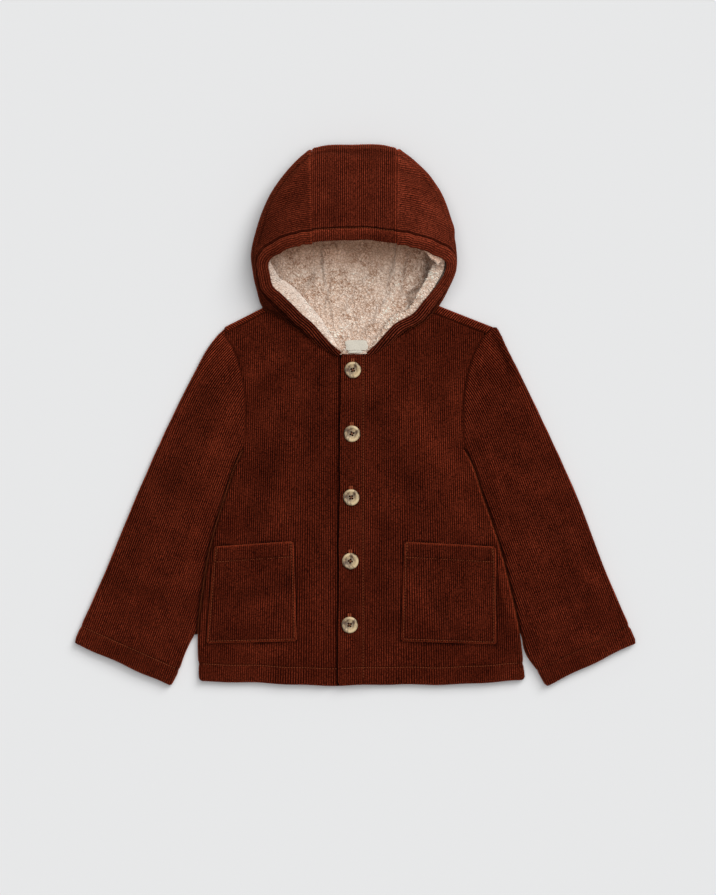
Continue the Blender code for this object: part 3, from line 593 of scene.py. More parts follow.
def lines(low, high, step, *closer):
    """Places of grid lines, a step apart, with closer ones where the cloth turns sharply."""
    marks = np.arange(math.floor(low / step), math.ceil(high / step) + 1) * step
    for fine in closer:
        marks = marks[np.abs(marks - fine.middle) > fine.half + 0.4 * min(step, fine.step * 2)]
        count = max(2, round(2 * fine.half / fine.step) + 1)
        extra = np.linspace(fine.middle - fine.half, fine.middle + fine.half, count)
        marks = np.concatenate([marks, extra])
    return np.sort(marks)


def clipped_grid(inside, columns, rows, rings=RIM):
    """The cells of a grid where inside(a, b) is above the first ring, then rings of cells to the edge."""
    a, b = np.meshgrid(columns, rows, indexing="ij")
    keep = inside(a, b) > rings[0]
    number = np.full(keep.shape, -1)
    whole_count = int(keep.sum())
    number[keep] = np.arange(whole_count)
    points = [np.stack([a[keep], b[keep]], 1)]
    count = whole_count
    crossing = {}
    for axis, (di, dj) in enumerate(((1, 0), (0, 1))):
        head = keep[: keep.shape[0] - di, : keep.shape[1] - dj]
        i, j = np.nonzero(head != keep[di:, dj:])
        start = np.stack([a[i, j], b[i, j]], 1)
        end = np.stack([a[i + di, j + dj], b[i + di, j + dj]], 1)
        sign = np.where(keep[i, j], 1, -1)
        near, far = np.zeros(len(i)), np.ones(len(i))
        for _ in range(20):
            middle = (near + far) / 2
            at = start + (end - start) * middle[:, None]
            same = (inside(at[:, 0], at[:, 1]) - rings[0]) * sign > 0
            near, far = np.where(same, middle, near), np.where(same, far, middle)
        points.append(start + (end - start) * ((near + far) / 2)[:, None])
        crossing.update({(axis, p, q): count + n for n, (p, q) in enumerate(zip(i.tolist(), j.tolist()))})
        count += len(i)
    whole = keep[:-1, :-1] & keep[1:, :-1] & keep[1:, 1:] & keep[:-1, 1:]
    part = (keep[:-1, :-1] | keep[1:, :-1] | keep[1:, 1:] | keep[:-1, 1:]) & ~whole
    i, j = np.nonzero(whole)
    faces = np.stack([number[i, j], number[i + 1, j], number[i + 1, j + 1], number[i, j + 1]], 1).tolist()
    border = []
    for i, j in np.argwhere(part).tolist():
        corners = ((i, j), (i + 1, j), (i + 1, j + 1), (i, j + 1))
        edges = ((0, i, j), (1, i + 1, j), (0, i, j + 1), (1, i, j))
        loop = []
        for corner, edge in zip(corners, edges):
            if keep[corner]:
                loop.append(int(number[corner]))
            if edge in crossing:
                loop.append(crossing[edge])
        if len(loop) > 2:
            faces.append(loop)
            border += [(p, q) for p, q in zip(loop[-1:] + loop[:-1], loop) if min(p, q) >= whole_count]
    edge_points = np.concatenate(points)[whole_count:]
    inner = whole_count
    for before, level in zip(rings[:-1], rings[1:]):
        edge_points = stepped(inside, edge_points, level, before - level)
        points.append(edge_points)
        shift = count - inner
        faces += [[q, p, p + shift, q + shift] for p, q in border]
        border = [(p + shift, q + shift) for p, q in border]
        inner, count = count, count + len(edge_points)
    points = np.concatenate(points)
    return Grid(points, faces, np.arange(len(points)) >= inner)


def stepped(inside, points, level, reach):
    """Points moved straight down the slope of inside() to a level, each by little more than reach."""
    here = points.copy()
    small = 0.002
    for _ in range(4):
        value = inside(here[:, 0], here[:, 1])
        slope = np.stack([
            inside(here[:, 0] + small, here[:, 1]) - inside(here[:, 0] - small, here[:, 1]),
            inside(here[:, 0], here[:, 1] + small) - inside(here[:, 0], here[:, 1] - small),
        ], 1) / (2 * small)
        size = np.maximum(np.sum(slope * slope, 1), 0.25)
        here = here + slope * ((level - value) / size)[:, None]
        moved = here - points
        far = np.maximum(np.linalg.norm(moved, axis=1) / (1.5 * reach), 1.0)
        here = points + moved / far[:, None]
    return here


def corner(a, b, radius):
    """Distance inside two edges that meet in a rounded corner."""
    near = radius - np.hypot(np.maximum(radius - a, 0), np.maximum(radius - b, 0))
    return np.where((a < radius) & (b < radius), near, np.minimum(a, b))


def painted_shade(distance, width, depth=0.85):
    """A tone of painted shade that darkens cloth close to a crevice."""
    return 1 - depth * bell(distance, 0.0, width)


def pressed(edge):
    """How much of the cords' height is left near an edge or a seam that squeezes them."""
    return 0.3 + 0.7 * eased(edge / 2.5)


def ridge_at(cord):
    """How high on its cord a place across the cords is, from 0 to 1."""
    return np.interp(np.mod(cord / CORD_PITCH, 1.0), np.linspace(0, 1, len(CORD_SECTION)), CORD_SECTION)


def cord_light_and_shade(cord, depth):
    """A tone of painted light and shade that sets the tops of the cords off from their sides."""
    return 1 + depth * (1.5 * ridge_at(cord) ** 3 - 0.75)


def kept(faces, mask):
    """The faces all of whose points are in the mask."""
    return [face for face in faces if all(mask[k] for k in face)]


def flipped(faces):
    """The faces seen from their other side."""
    return [face[::-1] for face in faces]


def linked(name, data):
    """A new object of the scene that holds the data."""
    made = bpy.data.objects.new(name, data)
    bpy.context.scene.collection.objects.link(made)
    return made


def new_object(name, points, faces, look, smooth=True):
    """A mesh object from points in millimetres."""
    data = bpy.data.meshes.new(name)
    data.from_pydata((np.asarray(points) * MM).tolist(), [], faces)
    data.materials.append(look)
    if smooth:
        data.shade_smooth()
    return linked(name, data)


def add_attributes(made, **values):
    """Give each point of an object its value of each name."""
    for name, each in values.items():
        made.data.attributes.new(name, "FLOAT", "POINT").data.foreach_set("value", each)


def vertex_normals(data):
    """The normals of a mesh's points."""
    normals = np.zeros(len(data.vertices) * 3)
    data.vertex_normals.foreach_get("vector", normals)
    return normals.reshape(-1, 3)


def new_mesh(name, sheets, look):
    """One object from sheets in millimetres, with its cords pressed in along the normals."""
    points = np.concatenate([sheet.points for sheet in sheets])
    cord = np.concatenate([sheet.cord for sheet in sheets])
    press = np.concatenate([sheet.press + 0.0 * sheet.cord for sheet in sheets])
    tone = np.concatenate([sheet.tone + 0.0 * sheet.cord for sheet in sheets])
    faces, start = [], 0
    for sheet in sheets:
        faces += [[k + start for k in face] for face in sheet.faces]
        start += len(sheet.points)
    cells = np.round(points / WELD).astype(int)
    _, first, same = np.unique(cells, axis=0, return_index=True, return_inverse=True)
    same = same.ravel()
    trimmed = []
    for face in faces:
        loop = [int(same[k]) for k in face]
        loop = [k for n, k in enumerate(loop) if k != loop[n - 1]]
        if len(set(loop)) > 2:
            trimmed.append(loop)
    used = np.zeros(len(first), bool)
    used[np.concatenate([np.array(loop) for loop in trimmed])] = True
    renumber = np.cumsum(used) - 1
    trimmed = [[int(renumber[k]) for k in loop] for loop in trimmed]
    points, cord, press, tone = (each[first][used] for each in (points, cord, press, tone))
    made = new_object(name, points, trimmed, look)
    ridge = ridge_at(cord)
    points = points + vertex_normals(made.data) * ((ridge - 1) * CORD_HEIGHT * press)[:, None]
    points[:, 2] = np.maximum(points[:, 2], 0.0)
    made.data.vertices.foreach_set("co", (points * MM).ravel())
    # Lighter edges and seams: partly wear, partly a painted sheen.
    add_attributes(made, ridge=mix(0.72, ridge, press), wear=1 - press, tone=tone)
    made.data.update()
    return made


def place(made, nodes=(), slot=None):
    """A finished piece rides on the coat and stands for its CAD nodes."""
    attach(made, "root")
    if nodes:
        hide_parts(*nodes)


def make_cloth(node, sheets, look):
    """A corduroy piece in place of its CAD node."""
    made = new_mesh(f"{node}_cloth", sheets, look)
    place(made, [node], "corduroy")


# Fronts ---------------------------------------------------------------------------------------


def front_x(side, w, y):
    """The cords of a front lean outwards a little towards its side."""
    sign = sign_of(side)
    lean = mix(-0.008, 0.032, eased((sign * w - 10) / 90))
    return w + sign * lean * (60 - y)


def collar_knots(side):
    """The front neckline and the shoulder seam, from the placket outwards."""
    rows = HOOD[side]
    stations = np.linspace(0.0, 2.7, 12)
    xs = along([row.out_x for row in rows], stations)
    ys = along([row.out_y for row in rows], stations) + 2.0 * eased(stations)
    sign = sign_of(side)
    near = np.abs(xs) < abs(SHOULDER_SEAM_NECK[side].x) - 2
    neck, tip = SHOULDER_SEAM_NECK[side], SHOULDER_SEAM_TIP[side]
    xs = np.concatenate([[-20.0 * sign, 14.0 * sign], xs[near], [neck.x, tip.x]])
    ys = np.concatenate([[PLACKET_TOP_Y] * 2, ys[near], [neck.y, tip.y]])
    return xs, ys


def collar_y(side, x):
    """Top edge of a front at x."""
    xs, ys = collar_knots(side)
    if side == "right":
        xs, ys = xs[::-1], ys[::-1]
    return np.interp(x, xs, ys)


def centre_edge(y):
    """x of the placket's free edge."""
    share = (y - HEM_Y) / (PLACKET_TOP_Y - HEM_Y)
    return mix(PLACKET_EDGE_HEM, PLACKET_EDGE_TOP, share) + 0.35 * np.sin(y / 17) + 0.2 * np.sin(y / 7)


def front_edges(side, x, y):
    """Distances inside the side, the hem, the centre edge and the top."""
    sign = sign_of(side)
    to_side = 0.97 * sign * (body_edge(side, y) - x)
    to_centre = x - centre_edge(y) if side == "left" else UNDERLAP_EDGE - x
    return to_side, y - hem_y(x), to_centre, 0.85 * (collar_y(side, x) - y)


def front_height(side, x, y):
    """Height of a front's outer face, folds included."""
    to_side, to_hem, to_centre, to_top = front_edges(side, x, y)
    underarm = np.hypot(x - at_height(ARMHOLE, side, UNDERARM_Y), y - UNDERARM_Y)
    seam = np.where(y < UNDERARM_Y, to_side, underarm)
    height = beside_top(seam)
    swell = eased(to_side / 40) * eased(to_hem / 30)
    height = height + FRONT_SWELL * swell + (folds(FRONT_FOLDS, x, y) + uneven(x, y)) * eased(to_side / 12)
    if side == "left":
        height = height + PLACKET_LIFT * fades(x - PLACKET_FADE, PLACKET_FADE_WIDTH)
        height = height + 0.5 * np.exp(-((to_centre - 3.5) ** 2) / 12)
        height = height + puckers(x - PLACKET_STITCH_X, y) * (to_top > 0)
    else:
        height = height - (PLACKET_DIP + 1.4 * swell) * eased((x + 35) / 12)
    height = height + puckers(to_hem - HEM_STITCH, x)
    beside = nearest(*pocket_frame(side, x, y))
    height = height + BESIDE_POCKET.at(beside)
    armhole = np.where(y > UNDERARM_Y, to_side, FAR)
    height = height - SEAM_DIP * fades(armhole, SEAM_WIDTH)
    return height - COLLAR_DIP * fades(to_top, COLLAR_WIDTH)


def pocket_frame(side, x, y):
    """Distances inside the top, outer, low and inner edges of a pocket."""
    corners = POCKETS[side]
    turn = -sign_of(side)
    return [turn * above_line(x, y, corners[k], corners[(k + 1) % 4]) for k in range(4)]


def front_y(x, v):
    """Rows of a front follow the hem and straighten above it."""
    return v + (hem_y(x) - HEM_Y) * fades(v - HEM_Y, HEM_SAG_REACH)


def button_middle(number):
    """The middle of a button in plan, and its radius and height."""
    lo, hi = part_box(f"button_{number + 1}")
    return (lo.x + hi.x) / 2 / MM, (lo.y + hi.y) / 2 / MM, (hi.x - lo.x) / 2 / MM, (hi.z - lo.z) / MM


def beside_button(x, y):
    """Distance outside the rim of the nearest button."""
    gaps = []
    for number in range(len(BUTTON_SPINS)):
        middle_x, middle_y, radius, _ = button_middle(number)
        gaps.append(np.hypot(x - middle_x, y - middle_y) - radius)
    return nearest(*gaps)


def make_front(side, look):
    """A front: its outer face, and its turned-in edges at the hem and the placket."""
    sign = sign_of(side)

    def inside(w, v):
        y = front_y(w, v)
        to_side, to_hem, to_centre, to_top = front_edges(side, front_x(side, w, y), y)
        return nearest(corner(to_side, to_hem, CORNER), corner(to_centre, to_hem, 1.5), to_top)

    span = sorted((sign * -26.0, sign * 192.0))
    rows = lines(HEM_Y - 3, 118.0, 3.3, Fine(HEM_Y + HEM_STITCH, *STITCH_FINE))
    grid = clipped_grid(inside, lines(*span, CORD_STEP), rows)
    w, v = grid.points.T
    y = front_y(w, v)
    x = front_x(side, w, y)
    to_side, to_hem, to_centre, to_top = front_edges(side, x, y)
    top = front_height(side, x, y)
    free = np.minimum(to_hem, to_centre) if side == "left" else to_hem
    cloth = np.where(to_centre < to_hem, PLACKET_CLOTH, EDGE_CLOTH)
    half = cloth / 2
    rise = turned_in(free, half)
    outer = xyz(x, y, np.maximum(top - half + half * rise, LOWEST))
    under = xyz(x, y, np.maximum(top - half - half * rise, LOWEST))
    turned = kept(grid.faces, free < TURNED_BAND)
    press = pressed(nearest(to_side, to_hem, to_centre, to_top))
    # Painted light and shade: beside the sleeve a shadow on the right and a highlight on the left, light
    # and shade on folds, and shade at seams, pockets, collar, stitches and the placket's edge.
    beside_sleeve = (y > SLEEVE_INNER_END[0].y) & (y < UNDERARM_Y)
    rim = painted_shade(to_side, *SIDE_SHADE) if side == "right" else 1 + FRONT_EDGE_HIGHLIGHT.at(to_side)
    tone = np.where(beside_sleeve, rim, 1.0) * (1 + FOLD_LIGHT_AND_SHADE * folds(FRONT_FOLDS, x, y))
    tone = tone * np.where(y > UNDERARM_Y, painted_shade(to_side, *ARMHOLE_SHADE), 1.0)
    beside = nearest(*pocket_frame(side, x, y))
    tone = tone * painted_shade(np.minimum(beside, 0) + 0.7, *POCKET_SHADE) * painted_shade(to_top, *COLLAR_SHADE)
    tone = tone * painted_shade(to_hem - HEM_STITCH, *STITCH_SHADE)
    if side == "left":
        tone = tone * painted_shade(x - PLACKET_STITCH_X, *STITCH_SHADE)
        # Painted shadow under and around each button.
        tone = tone * mix(BUTTON_SHADE, 1.0, eased((beside_button(x, y) + 0.6) / BUTTON_SHADE_WIDTH))
    else:
        tone = tone * painted_shade(x - centre_edge(y) + 0.4, *UNDERLAP_SHADE)
    sheets = [Sheet(outer, grid.faces, w, press, tone), Sheet(under, flipped(turned), w, press)]
    make_cloth(f"front_{side}", sheets, look)


def make_pocket(side, look):
    """A patch pocket on the front it is sewn to."""
    corners = POCKETS[side]
    xs = [p.x for p in corners]
    tall = corners.top_in.y - corners.low_in.y

    def pocket_xy(w, up):
        low = np.interp(w, sorted(xs[2:]), [p.y for p in sorted(corners[2:])])
        high = np.interp(w, sorted(xs[:2]), [p.y for p in sorted(corners[:2])])
        y = mix(low, high, up / tall)
        return front_x(side, w, y), y

    def inside(w, up):
        top, outer, low, inner = pocket_frame(side, *pocket_xy(w, up))
        return nearest(top, corner(outer, low, 2.0), corner(inner, low, 2.0))

    rows = lines(-3.0, tall + 4, 2.8, Fine(2.9, 0.9, 0.6), Fine(tall - POCKET_HEM, *STITCH_FINE))
    grid = clipped_grid(inside, lines(min(xs) - 14, max(xs) + 14, CORD_STEP), rows)
    w, up = grid.points.T
    x, y = pocket_xy(w, up)
    top, outer, low, inner = pocket_frame(side, x, y)
    sewn = nearest(outer, low, inner)
    edge = np.minimum(sewn, top)
    rise = rolled(edge, POCKET_ROLL) / POCKET_ROLL
    height = front_height(side, x, y) + pocket_rise(x, y, top, sewn) * rise
    points = xyz(x, y, height)
    skirt = xyz(x, y, front_height(side, x, y) - 0.2)
    press = pressed(edge)
    # Painted light and shade on folds, a painted highlight along the pocket's edges and painted shade along
    # its stitches.
    tone = (1 + FOLD_LIGHT_AND_SHADE * folds(FRONT_FOLDS, x, y)) * (1 + POCKET_EDGE_HIGHLIGHT.at(edge))
    tone = tone * painted_shade(top - POCKET_HEM, *STITCH_SHADE) * painted_shade(sewn - POCKET_STITCH, *POCKET_STITCH_SHADE)
    cord = w + POCKET_CORD_SHIFT
    near = kept(grid.faces, edge < 3)
    under = np.where(grid.rim[:, None], points, skirt)
    sheets = [Sheet(points, grid.faces, cord, press, tone), Sheet(under, flipped(near), cord, press)]
    make_cloth(f"pocket_{side}", sheets, look)


def pocket_rise(x, y, top, sewn):
    """How far a pocket stands off the front: plump, gathered by its stitches, open at the mouth."""
    edge = np.minimum(sewn, top)
    rise = POCKET_RISE + 0.9 * eased(edge / 26)
    rise = rise + POCKET_MOUTH.at(top) * eased(sewn / 24)
    rise = rise + POCKET_SEAM.at(sewn)
    rise = rise + np.sin((x + y) / 2.1) * POCKET_GATHER.at(sewn)
    return rise + puckers(top - POCKET_HEM, x)


# Sleeves --------------------------------------------------------------------------------------


def sleeve_cuff(side):
    """Corners of a sleeve's cuff, outer and inner."""
    out, end = SLEEVE_OUTER[-1], SLEEVE_INNER_END[-1]
    return np.array([getattr(out, side), out.y]), np.array([getattr(end, side), end.y])


def sleeve_axes(side):
    """Unit directions across a sleeve, along its cuff, and down its cords."""
    sign = sign_of(side)
    out, end = sleeve_cuff(side)
    across = (out - end) / np.linalg.norm(out - end)
    return across, np.array([sign * math.sin(SLEEVE_TILT), -math.cos(SLEEVE_TILT)])


def sleeve_xy(side, w, t):
    """Plan of a sleeve from across and down; its cords lean more towards the shoulder."""
    across, down = sleeve_axes(side)
    sign = sign_of(side)
    marks = np.linspace(-120.0, CAP_BEND_END, 200)
    bend = eased((marks - CAP_BEND_START) / (CAP_BEND_END - CAP_BEND_START))
    lean = SLEEVE_TILT + CAP_LEAN * (1 - bend)
    step = marks[1] - marks[0]
    short_x = sign * (np.sin(lean) - math.sin(SLEEVE_TILT)) * step
    short_y = (math.cos(SLEEVE_TILT) - np.cos(lean)) * step
    back_x = np.cumsum(short_x[::-1])[::-1]
    back_y = np.cumsum(short_y[::-1])[::-1]
    x = across[0] * w + down[0] * t - np.interp(t, marks, back_x, right=0.0)
    y = across[1] * w + down[1] * t - np.interp(t, marks, back_y, right=0.0)
    return x, y


def sleeve_edges(side, x, y):
    """Distances inside the outer edge, the inner edge, the armhole and the cuff."""
    sign = sign_of(side)
    out, end = sleeve_cuff(side)
    cuff = sign * above_line(x, y, end, out) + 0.5 * np.sin(x / 8)
    notch = CUFF_NOTCH.at(cuff)
    outer = (at_height(SLEEVE_OUTER, side, y) - sign * notch - x) * sign * 0.92
    outer = np.minimum(outer, SLEEVE_OUTER[0].y + 0.8 - y)
    low_in = at_height(SLEEVE_INNER_END, side, y)
    gap = np.where(y > UNDERARM_Y, SLEEVE_LAP - 0.6 * eased((y - 84) / 6), SLEEVE_CLEARANCE)
    inner_x = np.where(y > SLEEVE_INNER_END[0].y, body_edge(side, y) + sign * gap, low_in)
    inner = (x - inner_x - sign * notch) * sign * 0.96
    armhole = np.where(y > UNDERARM_Y, inner, FAR)
    inner = np.where(y > UNDERARM_Y, FAR, inner)
    return outer, inner, armhole, cuff


def sleeve_height(side, x, y):
    """Height of a sleeve's upper face above the middle of its thickness."""
    outer, inner, armhole, cuff = sleeve_edges(side, x, y)
    underarm = np.hypot(x - at_height(ARMHOLE, side, UNDERARM_Y), y - UNDERARM_Y)
    inner = np.where(y < UNDERARM_Y, inner, underarm)
    tip = SHOULDER_TIP[side]
    outer = np.minimum(outer, np.where(y > 80, np.hypot(x - tip.x, y - tip.y), FAR))
    edge = np.minimum(outer, inner)
    height = np.minimum(rolled(outer), beside_top(inner) - ROLL)
    swell = eased(edge / 42) * eased(cuff / 40 + 0.4)
    height = height + SLEEVE_SWELL * swell
    height = height + (folds(SLEEVE_FOLDS, x, y) + uneven(x, y)) * eased(edge / 10)
    height = height - SEAM_DIP * fades(armhole, SLEEVE_SEAM_WIDTH) * eased(edge / 6)
    height = height + ARMHOLE_ROLL.at(armhole) * eased(edge / 8)
    high = eased((y - 5) / 45)
    height = height + high * bumps(SLEEVE_OUTLINE, outer)
    return height + puckers(cuff - CUFF_STITCH, x)


def make_sleeve(side, look):
    """A sleeve: the upper and lower faces of its flattened tube, turned in at the cuff."""
    def inside(w, t):
        outer, inner, armhole, cuff = sleeve_edges(side, *sleeve_xy(side, w, t))
        return nearest(corner(outer, cuff, 2.5), corner(inner, cuff, 2.0), armhole)

    across, down = sleeve_axes(side)
    normal = np.array([-across[1], across[0]])
    out, _ = sleeve_cuff(side)
    cuff_t = (normal @ out) / (normal @ down)
    rows = lines(-90.0, cuff_t + 3, 4.4, Fine(cuff_t - CUFF_STITCH, *STITCH_FINE))
    grid = clipped_grid(inside, lines(40.0, 270.0, CORD_STEP), rows)
    w, t = grid.points.T
    x, y = sleeve_xy(side, w, t)
    outer, inner, armhole, cuff = sleeve_edges(side, x, y)
    upper = sleeve_height(side, x, y)
    inner = np.where(y < UNDERARM_Y, inner, FAR)
    edge = np.minimum(outer, inner)
    lower = np.maximum(-rolled(outer), beside_bottom(inner) - ROLL)
    half = EDGE_CLOTH / 2
    rise = turned_in(cuff)
    thin = np.clip((upper - lower) / BODY_HEIGHT, 0, 1)
    at_cuff = (1 - rise) * half * thin
    band = kept(grid.faces, (cuff < CUFF_BAND) & (edge > 0.5))
    top_sheet = xyz(x, y, ROLL + upper - at_cuff)
    low_sheet = xyz(x, y, ROLL + lower + at_cuff)
    top_band = xyz(x, y, ROLL + upper - half * thin * (1 + rise))
    low_band = xyz(x, y, ROLL + lower + half * thin * (1 + rise))
    press = pressed(np.minimum(armhole, cuff)) * (0.45 + 0.55 * eased(edge / 2))
    flat = press * (edge > 0)
    # Painted light and shade: shade in seams, beside the body and along stitches, light and shade on folds
    # and on the cap's cords, a highlight and shade along the outer edge and light on its roll.
    beside_body = np.where(y > SLEEVE_INNER_END[0].y, inner, FAR)
    tone = painted_shade(armhole, *ARMHOLE_SHADE) * painted_shade(beside_body, *BESIDE_BODY_SHADE)
    tone = tone * painted_shade(cuff - CUFF_STITCH, *STITCH_SHADE)
    tone = tone * (1 + FOLD_LIGHT_AND_SHADE * folds(SLEEVE_FOLDS, x, y))
    tone = tone * (1 + bumps(SLEEVE_EDGE_LIGHT_AND_SHADE, outer))
    cap = eased((y + 20) / 70) * eased((60 - armhole * (y > UNDERARM_Y)) / 50) * (armhole < FAR)
    tone = tone * cord_light_and_shade(w, 0.75 * cap) * (1 + SLEEVE_ROLL_LIGHT.at(outer) * eased((y + 60) / 60))
    sheets = [
        Sheet(top_sheet, grid.faces, w, press, tone),
        Sheet(low_sheet, flipped(grid.faces), w, flat),
        Sheet(top_band, flipped(band), w, press),
        Sheet(low_band, band, w, press),
    ]
    make_cloth(f"sleeve_{side}", sheets, look)


# Back -----------------------------------------------------------------------------------------


def back_edges(x, y):
    """Distances inside the sides, the shoulders, the neckline and the hem."""
    side_gap = np.minimum(body_edge("left", y) - x, x - body_edge("right", y)) * 0.97
    shoulder = np.minimum(
        above_line(x, y, SHOULDER_TIP["left"], NECK_SIDE["left"]),
        above_line(x, y, NECK_SIDE["right"], SHOULDER_TIP["right"]),
    )
    return side_gap, shoulder, 0.9 * (nape_y(x) - y), y - hem_y(x)


def make_back(look):
    """The back: its underside, its turned-in hem and what wraps forward over the shoulders."""
    def inside(x, v):
        side_gap, shoulder, neck, hem = back_edges(x, front_y(x, v))
        return nearest(corner(side_gap, hem, CORNER), shoulder, neck)

    rows = lines(HEM_Y - 3, 124.0, 7.0)
    grid = clipped_grid(inside, lines(-190.0, 195.0, CORD_STEP), rows)
    x, v = grid.points.T
    y = front_y(x, v)
    side_gap, shoulder, _, hem = back_edges(x, y)
    beside_sleeve = np.where(y < UNDERARM_Y, side_gap, FAR)
    height = np.maximum(ROLL - rolled(shoulder), beside_bottom(beside_sleeve))
    half = EDGE_CLOTH / 2
    rise = turned_in(hem)
    under = xyz(x, y, height + half - half * rise)
    over = xyz(x, y, height + half + half * rise)
    press = pressed(nearest(side_gap, hem, shoulder))
    sheets = [
        Sheet(under, flipped(grid.faces), x, press),
        Sheet(over, kept(grid.faces, hem < TURNED_BAND), x, press),
    ]
    sheets += [shoulder_strip(side) for side in SIDES]
    make_cloth("back", sheets, look)


def shoulder_strip(side):
    """The strip of the back that shows above the forward shoulder seam, with its end under the sleeve."""
    sign = sign_of(side)
    tip, neck = np.array(SHOULDER_TIP[side]), np.array(NECK_SIDE[side])
    seam_tip, seam_neck = np.array(SHOULDER_SEAM_TIP[side]), np.array(SHOULDER_SEAM_NECK[side])
    fold = (tip - neck) / np.linalg.norm(tip - neck)
    turn = 2 * math.atan2(fold[1], fold[0]) - math.pi / 2
    run = np.array([math.cos(turn), math.sin(turn)])
    off = np.array([-run[1], run[0]])

    def edges(x, y):
        arm = -sign * above_line(x, y, tip, seam_tip)
        under = (at_height(SLEEVE_OUTER, side, y) - x) * sign - 0.6 + 3.0 * np.maximum(arm + 1.0, 0)
        fold_edge = np.minimum(-sign * above_line(x, y, neck, tip), under)
        return fold_edge, sign * above_line(x, y, seam_neck, seam_tip), arm

    def inside(a, b):
        x, y = off[0] * a + run[0] * b, off[1] * a + run[1] * b
        fold_edge, seam, arm = edges(x, y)
        return nearest(fold_edge, seam, arm + STRIP_TUCK, sign * (x - neck[0]) + 8.0)

    corners = np.array([tip + fold * 8, neck, seam_tip + fold * 8, seam_neck, neck - fold * 12])
    a, b = corners @ off, corners @ run
    columns = lines(a.min() - 2, a.max() + 2, CORD_STEP)
    grid = clipped_grid(inside, columns, lines(b.min() - 2, b.max() + 2, 1.2))
    p, q = grid.points.T
    x, y = off[0] * p + run[0] * q, off[1] * p + run[1] * q
    edge, seam, arm = edges(x, y)
    height = ROLL + rolled(edge) + SHOULDER_ROLL.at(seam)
    height = height - SHOULDER_SEAM_DIP * fades(seam, SHOULDER_SEAM_WIDTH)
    height = height - SEAM_DIP * fades(arm, SLEEVE_SEAM_WIDTH) * eased(edge / 5)
    height = np.where(arm < 0, np.minimum(height, ROLL + sleeve_height(side, x, y) - 0.8), height)
    # Painted light on the whole strip, which faces the lamps, a painted highlight on its folded edge,
    # painted shade at its seams and painted light and shade on its cords.
    tone = (1.4 + SHOULDER_EDGE_HIGHLIGHT.at(edge)) * painted_shade(seam, *SHOULDER_SEAM_SHADE) * painted_shade(arm, *SHOULDER_ARM_SHADE)
    tone = tone * cord_light_and_shade(p, 0.6)
    press = pressed(nearest(edge, seam, arm + STRIP_TUCK))
    return Sheet(xyz(x, y, height), grid.faces, p, press, tone)


# Hood -----------------------------------------------------------------------------------------


def hood_rows(side, station):
    """The outline, the face edge and their heights at places round the hood."""
    other = "right" if side == "left" else "left"
    rows = HOOD[side] + (HOOD[other][SEAM_STATION],)
    return Station(*(along([row[k] for row in rows], station) for k in range(len(Station._fields))))


def floor_point(side, station):
    """Where the side panel ends under the hood."""
    y = along(HOOD_FLOOR_SEAM, np.maximum(station, NECK_STATION) - NECK_STATION)
    seam = HOOD[side][SEAM_STATION]
    share = (y - HOOD_FLOOR_SEAM[0]) / (seam.out_y - HOOD_FLOOR_SEAM[0])
    return mix(NAPE_SEAM_X[side], seam.out_x, share), y


def section(row, floor_x, floor_y, q):
    """A hood section: q -2 to -1 along the floor, -1 to 0 round the roll, 0 to 1 up to the face."""
    rise = np.clip(q, 0, 1) * math.pi / 2
    wall_x = mix(row.out_x, row.edge_x, 1 - np.cos(rise))
    wall_y = mix(row.out_y, row.edge_y, 1 - np.cos(rise))
    wall_z = mix(row.start_z, row.edge_z, np.sin(rise))
    run_x, run_y = floor_x - row.out_x, floor_y - row.out_y
    length = np.hypot(run_x, run_y)
    reach = np.minimum(row.start_z / length, 0.8)
    tangent_x, tangent_y = row.out_x + run_x * reach, row.out_y + run_y * reach
    turn = np.clip(1 + q, 0, 1) * math.pi / 2
    roll_x, roll_y = mix(tangent_x, row.out_x, np.sin(turn)), mix(tangent_y, row.out_y, np.sin(turn))
    roll_z = row.start_z * (1 - np.cos(turn))
    flat = np.clip(-1 - q, 0, 1)
    flat_x, flat_y = mix(tangent_x, floor_x, flat), mix(tangent_y, floor_y, flat)
    x = np.where(q >= 0, wall_x, np.where(q >= -1, roll_x, flat_x))
    y = np.where(q >= 0, wall_y, np.where(q >= -1, roll_y, flat_y))
    z = np.where(q >= 0, wall_z, np.where(q >= -1, roll_z, 0.0))
    return np.stack([x, y, z], -1)


def side_place(side):
    """Outer face of a side panel by station and q."""
    def at(station, q):
        return section(hood_rows(side, station), *floor_point(side, station), q)

    return at


def centre_place(across, q):
    """Outer face of the centre panel: across from 0 on the wearer's right to 1."""
    station = mix(CROWN_STATION, SEAM_STATION, np.abs(2 * across - 1))
    right, left = hood_rows("right", station), hood_rows("left", station)
    row = Station(*(np.where(across < 0.5, a, b) for a, b in zip(right, left)))
    nape_x = mix(NAPE_SEAM_X["right"], NAPE_SEAM_X["left"], across)
    return section(row, nape_x, nape_y(nape_x), q)


